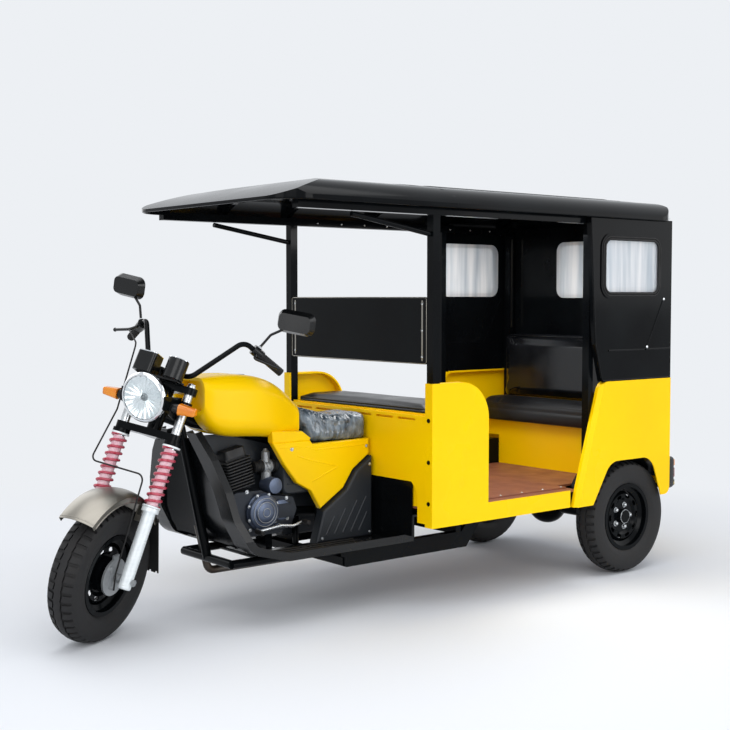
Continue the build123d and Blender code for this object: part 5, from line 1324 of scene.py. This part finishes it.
@dataclass
class Cockpit:
    """The grips' ribs, the lever ends, the dials and the small controls."""

    grip_end: Vector = field(default_factory=lambda: Vector((373, -771.3, 1117)))
    grip_run: Vector = field(default_factory=lambda: Vector((-0.6544, -0.5146, 0.5527)))
    control: Vector = field(default_factory=lambda: Vector((283, -842, 1193)))
    lever_tip: Vector = field(default_factory=lambda: Vector((402, -858.3, 1150)))
    pods: Vector = field(default_factory=lambda: Vector((0, -1089.3, 1113)))
    pod_up: Vector = field(default_factory=lambda: Vector((0, 0.45, 0.893)))
    indicator: Vector = field(default_factory=lambda: Vector((180, -1158.3, 957)))
    stem: Vector = field(default_factory=lambda: Vector((0.434, 0.342, 0.833)))
    grip_rib: Profile = ((-1.8, 15.5), (0, 18.0), (1.8, 15.5))
    grip_ribs: int = 12
    grip_cap: Profile = ((-1, 17), (2, 17.5), (5, 15), (6, 5))
    ball: Profile = ((-8, 3), (-6, 6.5), (-3, 8.6), (0, 9.2), (3, 8.6), (6, 6.5), (8, 3))
    button: Profile = ((20, 7), (25, 6.5), (27, 3))
    collar: Profile = ((-30, 8.6), (-30, 17), (6, 21), (12, 19), (12, 8.6))
    pod_half: float = 66.0
    bezel: Profile = ((21, 36), (21, 43.5), (24, 43), (25, 40), (24, 36.5))

    def build(self) -> None:
        """Builds what the rider holds and reads."""
        ribs, ends, studs = Shape(STEERED), Shape(STEERED), Shape(STEERED)
        buttons, collars = Shape(STEERED), Shape(STEERED)
        for side in (-1, 1):
            turn = Vector((side, 1, 1))
            grip, run = self.grip_end * turn, self.grip_run * turn
            for k in range(self.grip_ribs):
                ribs.hoop(self.grip_rib, grip + run * (8 + 7.8 * k), run, 24)
            ribs.lathe(self.grip_cap, grip, -run, 24)
            tip, control, stem = self.lever_tip * turn, self.control * turn, self.stem * turn
            ends.lathe(self.ball, tip, tip - control, 20)
            back = Vector((-0.2 * side, 0.86, 0.3)).normalized()
            buttons.lathe(self.button, control, back, 18)
            studs.bolt(control + stem * 22, stem, 8)
            out = Vector((side, 0, 0))
            collars.hoop(self.collar, self.indicator * turn - out * 48, out, 28)
        ribs.done("grip_ribs", RUBBER, Body.STEERING)
        ends.done("lever_ball_ends", BLACK_ABS, Body.STEERING)
        studs.done("mirror_stem_nuts", ZINC, Body.STEERING)
        buttons.done("switch_buttons", RED_ACRYLIC, Body.STEERING)
        collars.done("indicator_bases", BLACK_ABS, Body.STEERING)
        self.dials()

    def dials(self) -> None:
        """Adds the faces, needle, marks, lamps and bezels of the two pods."""
        across, up = Vector((1, 0, 0)), self.pod_up.normalized()
        along = up.cross(across)
        round_at, box_at = self.pods + across * self.pod_half, self.pods - across * self.pod_half
        bezel, face, marks, lamps = (Shape(STEERED) for _ in range(4))
        bezel.hoop(self.bezel, round_at, up, 48)
        outline = rounded_outline(86, 78, 15, 6)
        bezel.tube([box_at + across * u + along * v + up * 22 for u, v in outline], 2.2, 8, True)
        bezel.done("dial_bezels", CHROME, Body.STEERING)
        face.lathe([(18.1, 36.5), (18.8, 36.5)], round_at, up, 40)
        card = rounded_outline(75, 67, 12, 6)
        face.plate([box_at + across * u + along * v + up * 18.1 for u, v in card], up * 0.7)
        face.done("dial_faces", GREY_PLASTIC, Body.STEERING)
        for k in range(11):
            t = math.radians(-130 + 26 * k)
            way = across * math.sin(t) - along * math.cos(t)
            marks.tube([round_at + way * r + up * 19.2 for r in (25, 29, 33)], 0.9, 6)
        needle = across * math.sin(2.0) + along * math.cos(2.0)
        marks.tube([round_at + needle * r + up * 20 for r in (-6, 10, 24)], 1.1, 6)
        marks.lathe([(18.8, 5), (21, 4.5), (21.6, 2)], round_at, up, 18)
        marks.done("dial_marks", PALE_ALLOY_PAINTED_REFLECTION, Body.STEERING)
        for u, v in ((-20, -14), (20, -14), (-20, 14), (20, 14)):
            lamps.dome(box_at + across * u + along * v + up * 18.6, up, 7)
        lamps.done("warning_lamps", AMBER_ACRYLIC, Body.STEERING)


@dataclass
class Engine:
    """The engine's covers, starter, carburettor, air box, levers and bolts."""

    cover_y: float = -631.3
    cover_z: float = 454.0
    case_x: float = 94.0
    # The big cover, the right cover, the starter and the small cover, as along the axle and its radius.
    cover: Profile = ((0, 80), (9, 80), (14, 75), (26, 73), (30, 66), (32, 50), (36, 47), (39, 41), (41, 24),
                      (42, 4))
    right_cover: Profile = ((0, 78), (9, 78), (15, 70), (17, 30), (18, 4))
    starter: tuple[float, float] = (-566.0, 560.0)
    starter_end: Profile = ((-60, 36), (10, 36), (15, 33), (17, 20), (18, 4))
    small_at: tuple[float, float] = (-529.0, 452.0)
    small_cover: Profile = ((-30, 46), (6, 46), (10, 42), (12, 24), (13, 4))
    # Turned rings on the big cover: their radius, and how far out they lie.
    cover_rings: Profile = ((60, 33), (44, 38.5), (18, 42.5))
    cover_bolts: int = 8
    bolt_circle: float = 76.0
    # The case's bolts, as y and z.
    case_bolts: Profile = ((-705, 545), (-672, 560), (-500, 500), (-496, 410), (-560, 395), (-690, 380),
                           (-618, 560))
    carb: Vector = field(default_factory=lambda: Vector((40, -596, 640)))
    # The carburettor's barrel, float bowl and top, and the boots before and behind it.
    barrel: Profile = ((0, 24), (4, 30), (8, 30), (10, 25), (38, 25), (40, 29), (46, 29), (48, 22))
    bowl: Profile = ((0, 22), (34, 22), (38, 17), (44, 15))
    bowl_at: Vector = field(default_factory=lambda: Vector((4, 24, -58)))
    slide_top: Profile = ((0, 19), (44, 19), (48, 13), (58, 9))
    slide_at: Vector = field(default_factory=lambda: Vector((0, 24, 18)))
    front_boot: Profile = ((-40, 21), (-34, 27), (-28, 22), (-16, 22), (-10, 27), (2, 27))
    rear_boot: Profile = ((46, 27), (54, 31), (62, 27), (70, 32), (78, 28), (86, 34), (100, 34))
    air_box: tuple[float, float] = (-400.0, 622.0)
    air_box_size: tuple[float, float] = (250.0, 220.0)
    # Across the air box: x, and how much its outline is trimmed there.
    air_box_run: Profile = ((-100, 16), (-92, 4), (-60, 0), (60, 0), (92, 4), (100, 16))
    # The levers' bars, as y and z behind the toe, and their rubbers.
    lever_z: tuple[float, float] = (378.0, 396.0)
    heel_y: float = -446.0
    rubber: Profile = ((-26, 8), (-24, 11), (-4, 11.5), (22, 11.5), (26, 8))
    # Flat dark sheets in the middle of the engine bay, over the head, behind the cylinder and under the air
    # box, as y and z round each. They are painted shade, filling gaps where the bay lies in shadow.
    shade_sheets: tuple[tuple[tuple[float, float], ...], ...] = (
        ((-880, 700), (-500, 700), (-500, 790), (-880, 790)),
        ((-720, 500), (-500, 500), (-500, 702), (-720, 702)),
        ((-530, 400), (-290, 400), (-290, 540), (-530, 540)))

    def build(self) -> None:
        """Builds the engine's details."""
        out = Vector((1, 0, 0))
        covers, bolts, rings = Shape(), Shape(), Shape()
        hub = Vector((self.case_x, self.cover_y, self.cover_z))
        covers.lathe(self.cover, hub, out, 64)
        covers.lathe(self.starter_end, Vector((self.case_x, *self.starter)), out, 40)
        covers.lathe(self.small_cover, Vector((self.case_x, *self.small_at)), out, 44)
        covers.lathe(self.right_cover, Vector((-self.case_x, self.cover_y, self.cover_z)), -out, 56)
        covers.done("engine_round_covers", COVER_ALLOY, Body.CHASSIS)
        for radius, along in self.cover_rings:
            ring = ring_points(hub + out * along, Vector((0, radius, 0)), Vector((0, 0, radius)), 56)
            rings.tube(ring, 1.5, 8, True)
        rings.done("engine_cover_rings", HUB_ALLOY, Body.CHASSIS)
        for k in range(self.cover_bolts):
            t = 2 * math.pi * (k + 0.5) / self.cover_bolts
            round_hub = Vector((0, math.cos(t), math.sin(t))) * self.bolt_circle
            bolts.bolt(hub + out * 14 + round_hub, out, 5)
        for y, z in self.case_bolts:
            at = face_at("engine_case", Vector((400, y, z)), -out)
            if at is not None:
                bolts.bolt(at, out, 5.5)
        bolts.done("engine_bolts", ZINC, Body.CHASSIS)
        self.induction()
        self.levers()

    def induction(self) -> None:
        """Adds the carburettor, its rubber boots and the air box between the side covers."""
        back, up = Vector((0, 1, 0)), Vector((0, 0, 1))
        body, boots, box = Shape(), Shape(), Shape()
        body.lathe(self.barrel, self.carb, back, 28)
        body.lathe(self.bowl, self.carb + self.bowl_at, up, 24)
        body.lathe(self.slide_top, self.carb + self.slide_at, up, 24)
        body.bolt(self.carb + Vector((25, 20, 4)), Vector((1, 0, 0)), 6)
        body.done("carburettor", HUB_ALLOY, Body.CHASSIS, bevel=1)
        boots.lathe(self.front_boot, self.carb, back, 28)
        boots.lathe(self.rear_boot, self.carb, back, 28)
        boots.done("intake_boots", RUBBER, Body.CHASSIS)
        rings = []
        middle, rise = self.air_box
        length, height = self.air_box_size
        for x, trim in self.air_box_run:
            outline = rounded_outline(length - trim, height - trim, 30, 6)
            rings.append([Vector((x, middle + u, rise + v)) for u, v in outline])
        box.skin(rings)
        # Painted shade: dark flat sheets across the engine bay's middle, made as part of the air box piece.
        for outline in self.shade_sheets:
            box.plate([Vector((-5, y, z)) for y, z in outline], Vector((5, 0, 0)))
        for k in range(5):
            z = 560 + 32 * k
            box.tube([Vector((99, y, z)) for y in (-500, -420, -340)], 4, 8)
        box.done("air_box", GREY_PLASTIC, Body.CHASSIS, bevel=2)

    def levers(self) -> None:
        """Adds the gear lever, the brake pedal and their rubbers."""
        steel, pads = Shape(), Shape()
        toe_z, heel_z = self.lever_z
        for side, reach in ((1, -686), (-1, -720)):
            out = Vector((side, 0, 0))
            steel.lathe([(0, 9), (52, 9), (56, 6)], Vector((side * 92, -566, 392)), out, 16)
            run = ((140, reach, toe_z), (142, -640, 384), (142, -566, 392), (142, -500, 384),
                   (140, self.heel_y, heel_z))
            steel.tube([Vector((side * x, y, z)) for x, y, z in run], 7.5, 12)
            for y, z in ((reach, toe_z), (self.heel_y, heel_z)):
                pads.lathe(self.rubber, Vector((side * 162, y, z)), out, 18)
        steel.done("gear_lever_and_pedal", ZINC, Body.CHASSIS, bevel=0.6)
        pads.done("lever_rubbers", RUBBER, Body.CHASSIS)


@dataclass
class Shields:
    """The black apron between the leg shields, the footboards' ribs and the edge rolls."""

    # The apron's edge from top to bottom: y, z and half its width there.
    run: tuple[tuple[float, float, float], ...] = (
        (-967, 786, 116), (-952, 700, 172), (-932, 600, 212), (-918, 530, 232), (-908, 470, 246),
        (-880, 400, 252), (-842, 338, 252))
    thickness: float = 4.0
    rib_x: tuple[float, ...] = (170.0, 205.0, 240.0, 275.0, 310.0)
    foot_z: float = 293.0
    rib_run: tuple[float, ...] = (-640, -520, -400, -280, -190)
    bow: float = 26.0

    def build(self) -> None:
        """Builds the apron and the footboards' details."""
        apron = Shape()
        rings = []
        for y, z, half in self.run:
            front = [(half * s / 6, self.bow * (1 - (s / 6) ** 2)) for s in range(-6, 7)]
            loop = [Vector((x, y + dip, z)) for x, dip in front]
            loop += [Vector((x, y + dip + self.thickness, z)) for x, dip in reversed(front)]
            rings.append(loop)
        apron.skin(rings)
        apron.done("splash_apron", BLACK_ENAMEL, Body.CHASSIS, smooth_deg=50)
        ribs, studs = Shape(), Shape()
        for side in (-1, 1):
            for x in self.rib_x:
                ribs.tube([Vector((side * x, y, self.foot_z + 1)) for y in self.rib_run], 4, 8)
            for y in (-600, -380, -170):
                studs.dome(Vector((side * 335, y, self.foot_z)), Vector((0, 0, 1)), 7)
        ribs.done("footboard_ribs", RUBBER, Body.CHASSIS)
        studs.done("footboard_bolts", ZINC, Body.CHASSIS)


@dataclass
class Covers:
    """The side covers' creases and bolts, the battery covers' ribs, the tank's cap and skirt."""

    cover_x: float = 136.0
    battery_x: float = 158.0
    skirt_x: float = 92.0
    skirt_depth: float = 40.0
    # All as y and z: the cover's two creases, its bolts, the battery cover's bolts and the tank's skirt.
    arrow: Profile = ((-470, 684), (-400, 660), (-262, 626), (-250, 620), (-262, 614), (-330, 590),
                      (-392, 566))
    shoulder: Profile = ((-560, 726), (-430, 722), (-370, 704), (-90, 708))
    cover_bolts: Profile = ((-500, 716), (-84, 700))
    battery_bolts: Profile = ((-352, 312), (-84, 312), (-84, 620))
    skirt: Profile = ((-596, 746), (-402, 746), (-392, 756), (-440, 790), (-600, 800))
    # Tops of the battery cover's slanting ribs, from the front.
    rib_tops: tuple[float, ...] = (404, 432, 462, 474, 404)
    rib_pitch: float = 46.0
    filler: Profile = ((-6, 41), (-1, 41), (1, 38), (2, 30), (2.4, 8))

    def build(self) -> None:
        """Builds both sides."""
        crease, ribs, bolts, skirt = (Shape() for _ in range(4))
        for side in (-1, 1):
            out = Vector((side, 0, 0))
            x = side * (self.cover_x - 3.2)
            crease.tube([Vector((x, y, z)) for y, z in self.arrow], 5, 10)
            crease.tube([Vector((x, y, z)) for y, z in self.shoulder], 4.6, 10)
            for y, z in self.cover_bolts:
                bolts.bolt(Vector((side * (self.cover_x - 0.5), y, z)), out, 6)
            face = side * (self.battery_x - 2.5)
            for k, top in enumerate(self.rib_tops):
                y = -334 + self.rib_pitch * k
                ribs.tube([Vector((face, y + 0.6 * (z - 320), z)) for z in (326, 360, top)], 6, 10)
            for y, z in self.battery_bolts:
                bolts.bolt(Vector((side * (self.battery_x - 0.5), y, z)), out, 5)
            skirt.plate([Vector((side * self.skirt_x, y, z)) for y, z in self.skirt], out * self.skirt_depth)
        crease.done("side_cover_creases", YELLOW_ENAMEL, Body.CHASSIS, smooth_deg=60)
        bolts.done("cover_bolts", ZINC, Body.CHASSIS)
        ribs.done("battery_cover_ribs", GREY_PLASTIC, Body.CHASSIS, smooth_deg=60)
        skirt.done("tank_skirts", YELLOW_ENAMEL, Body.CHASSIS, bevel=5)
        top = face_at("fuel_tank", Vector((0, -700, 1400)), Vector((0, 0, -1)))
        cap = Shape()
        cap.lathe(self.filler, top, Vector((0, 0, 1)), 40)
        cap.done("filler_cap", CHROME, Body.CHASSIS)


@dataclass
class LowerCabin:
    """The yellow lower panels' bolts, swages and the deck's screws."""

    swage_z: tuple[float, ...] = (640.0, 820.0)
    bolt_z: tuple[float, ...] = (480, 660, 840)
    screw_y: tuple[float, ...] = (300, 440, 580, 720, 850)
    deck_z: float = 461.2

    def build(self) -> None:
        """Builds the front bolts, the rear swages and the deck screws."""
        bolts, swages, screws = Shape(), Shape(), Shape()
        ahead = Vector((0, -1, 0))
        for side in (-1, 1):
            for z in self.bolt_z:
                at = face_at("front_corner_panels", Vector((side * 522, -400, z)), -ahead)
                if at is not None:
                    bolts.bolt(at, ahead, 6.5)
            for y in self.screw_y:
                screws.dome(Vector((side * 468, y, self.deck_z)), Vector((0, 0, 1)), 5.5)
        back = millimetres("rear_panel")[1].y
        for z in self.swage_z:
            swages.tube([Vector((x, back - 3, z)) for x in (-470, -460, 0, 460, 470)], 7, 10)
        bolts.done("corner_panel_bolts", BLACK_ENAMEL, Body.CHASSIS)
        swages.done("rear_panel_swages", YELLOW_ENAMEL, Body.CHASSIS, smooth_deg=60)
        screws.done("deck_screws", ZINC, Body.CHASSIS)


@dataclass
class Studio:
    """The pale floor, the soft lights and the camera."""

    camera_at: Vector = field(default_factory=lambda: Vector((4.4772, -3.6216, 1.3691)))
    looks_at: Vector = field(default_factory=lambda: Vector((0.0, 0.0169, 1.0566)))
    lens_mm: float = 61.34
    backdrop: str = "#EDF0F4"
    floor_half_m: float = 60.0

    def build(self) -> None:
        """Builds the studio and sets the view."""
        bpy.context.scene.view_settings.view_transform = "Standard"
        self.sky()
        self.floor()
        self.camera()
        # Name, place, aim and side in metres, and power in watts.
        for name, at, aim, side, power in (
                ("overhead_softbox", (0.5, -0.5, 6.0), (0, 0, 0.8), 6.0, 195.0),
                ("key_softbox", (5.0, -4.5, 4.2), (0, 0, 0.9), 4.0, 125.0),
                ("cabin_fill", (5.5, 1.2, 1.3), (0, 0.6, 0.9), 2.4, 70.0),
                ("cabin_bounce", (0.1, 0.62, 1.7), (0, 0.62, 0.4), 0.9, 15.0),
                ("front_fill", (1.6, -6.5, 1.4), (0, 0, 0.8), 3.0, 60.0),
                ("rear_fill", (3.5, 5.5, 3.2), (0, 0.4, 0.9), 4.0, 66.0),
                ("far_fill", (-5.0, -1.0, 3.5), (0, 0, 0.9), 4.0, 66.0)):
            lamp = bpy.data.lights.new(name, "AREA")
            lamp.size = side
            lamp.energy = power
            light = bpy.data.objects.new(name, lamp)
            light.location = at
            light.rotation_euler = (Vector(aim) - Vector(at)).to_track_quat("-Z", "Y").to_euler()
            light.visible_camera = False
            bpy.context.scene.collection.objects.link(light)

    def seen(self, tree: bpy.types.NodeTree) -> bpy.types.NodeSocket:
        """Tells rays that see the studio from rays that light the vehicle.

        Args:
            tree: the tree that takes the nodes.

        Returns:
            1 for rays from the camera and for what metal and glass show of the studio, else 0.
        """
        path = add_node(tree, "ShaderNodeLightPath").outputs
        both = add_node(tree, "ShaderNodeMath",
                        {0: path["Is Glossy Ray"], 1: path["Is Transmission Ray"]},
                        operation="MAXIMUM").outputs[0]
        return add_node(tree, "ShaderNodeMath", {0: both, 1: path["Is Camera Ray"]},
                        operation="MAXIMUM").outputs[0]

    def sky(self) -> None:
        """Makes a pale world that lights the vehicle softly."""
        world = bpy.data.worlds.new("pale_studio")
        world.use_nodes = True
        bpy.context.scene.world = world
        tree = world.node_tree
        tree.nodes.clear()
        shown = add_node(tree, "ShaderNodeBackground", {"Color": linear(self.backdrop), "Strength": 1.0})
        light = add_node(tree, "ShaderNodeBackground", {"Color": linear("#F4F7FF"), "Strength": 0.45})
        mixed = add_node(tree, "ShaderNodeMixShader",
                         {0: self.seen(tree), 1: light.outputs[0], 2: shown.outputs[0]})
        add_node(tree, "ShaderNodeOutputWorld", {"Surface": mixed.outputs[0]})

    def floor(self) -> None:
        """Makes the floor, which fades into the backdrop away from the vehicle."""
        half = self.floor_half_m
        data = bpy.data.meshes.new("studio_floor")
        data.from_pydata([(-half, -half, 0), (half, -half, 0), (half, half, 0), (-half, half, 0)], [],
                         [(0, 1, 2, 3)])
        paint = bpy.data.materials.new("matt_floor_paint")
        paint.use_nodes = True
        tree = paint.node_tree
        tree.nodes.clear()
        place = add_node(tree, "ShaderNodeTexCoord").outputs["Object"]
        away = add_node(tree, "ShaderNodeVectorMath", {0: place}, operation="LENGTH").outputs["Value"]
        fade = add_node(tree, "ShaderNodeMapRange", {"Value": away, "From Min": 1.6, "From Max": 4.2},
                        interpolation_type="SMOOTHSTEP").outputs[0]
        shown = add_node(tree, "ShaderNodeMath", {0: fade, 1: self.seen(tree)},
                         operation="MULTIPLY").outputs[0]
        matt = add_node(tree, "ShaderNodeBsdfDiffuse", {"Color": linear("#E9ECF0")})
        pale = add_node(tree, "ShaderNodeEmission", {"Color": linear(self.backdrop), "Strength": 1.0})
        mixed = add_node(tree, "ShaderNodeMixShader", {0: shown, 1: matt.outputs[0], 2: pale.outputs[0]})
        add_node(tree, "ShaderNodeOutputMaterial", {"Surface": mixed.outputs[0]})
        data.materials.append(paint)
        floor = bpy.data.objects.new("studio_floor", data)
        bpy.context.scene.collection.objects.link(floor)

    def camera(self) -> None:
        """Makes the camera at the photograph's angle."""
        data = bpy.data.cameras.new("view")
        data.lens = self.lens_mm
        data.sensor_width = 36.0
        camera = bpy.data.objects.new("view", data)
        camera.location = self.camera_at
        camera.rotation_euler = (self.looks_at - self.camera_at).to_track_quat("-Z", "Y").to_euler()
        bpy.context.scene.collection.objects.link(camera)
        bpy.context.scene.camera = camera


def main() -> None:
    """Builds the vehicle's looks in order."""
    logging.basicConfig(level=logging.INFO, format="%(name)s %(message)s")
    Studio().build()
    Dresser().dress()
    Wheels().build()
    for assembly in (Seats(), Roof(), UpperCabin(), LowerCabin(), TailLamps(), HeadLamp(), Fork(), Cockpit(),
                     Engine(), Shields(), Covers()):
        assembly.build()


if __name__ == "__main__":
    main()
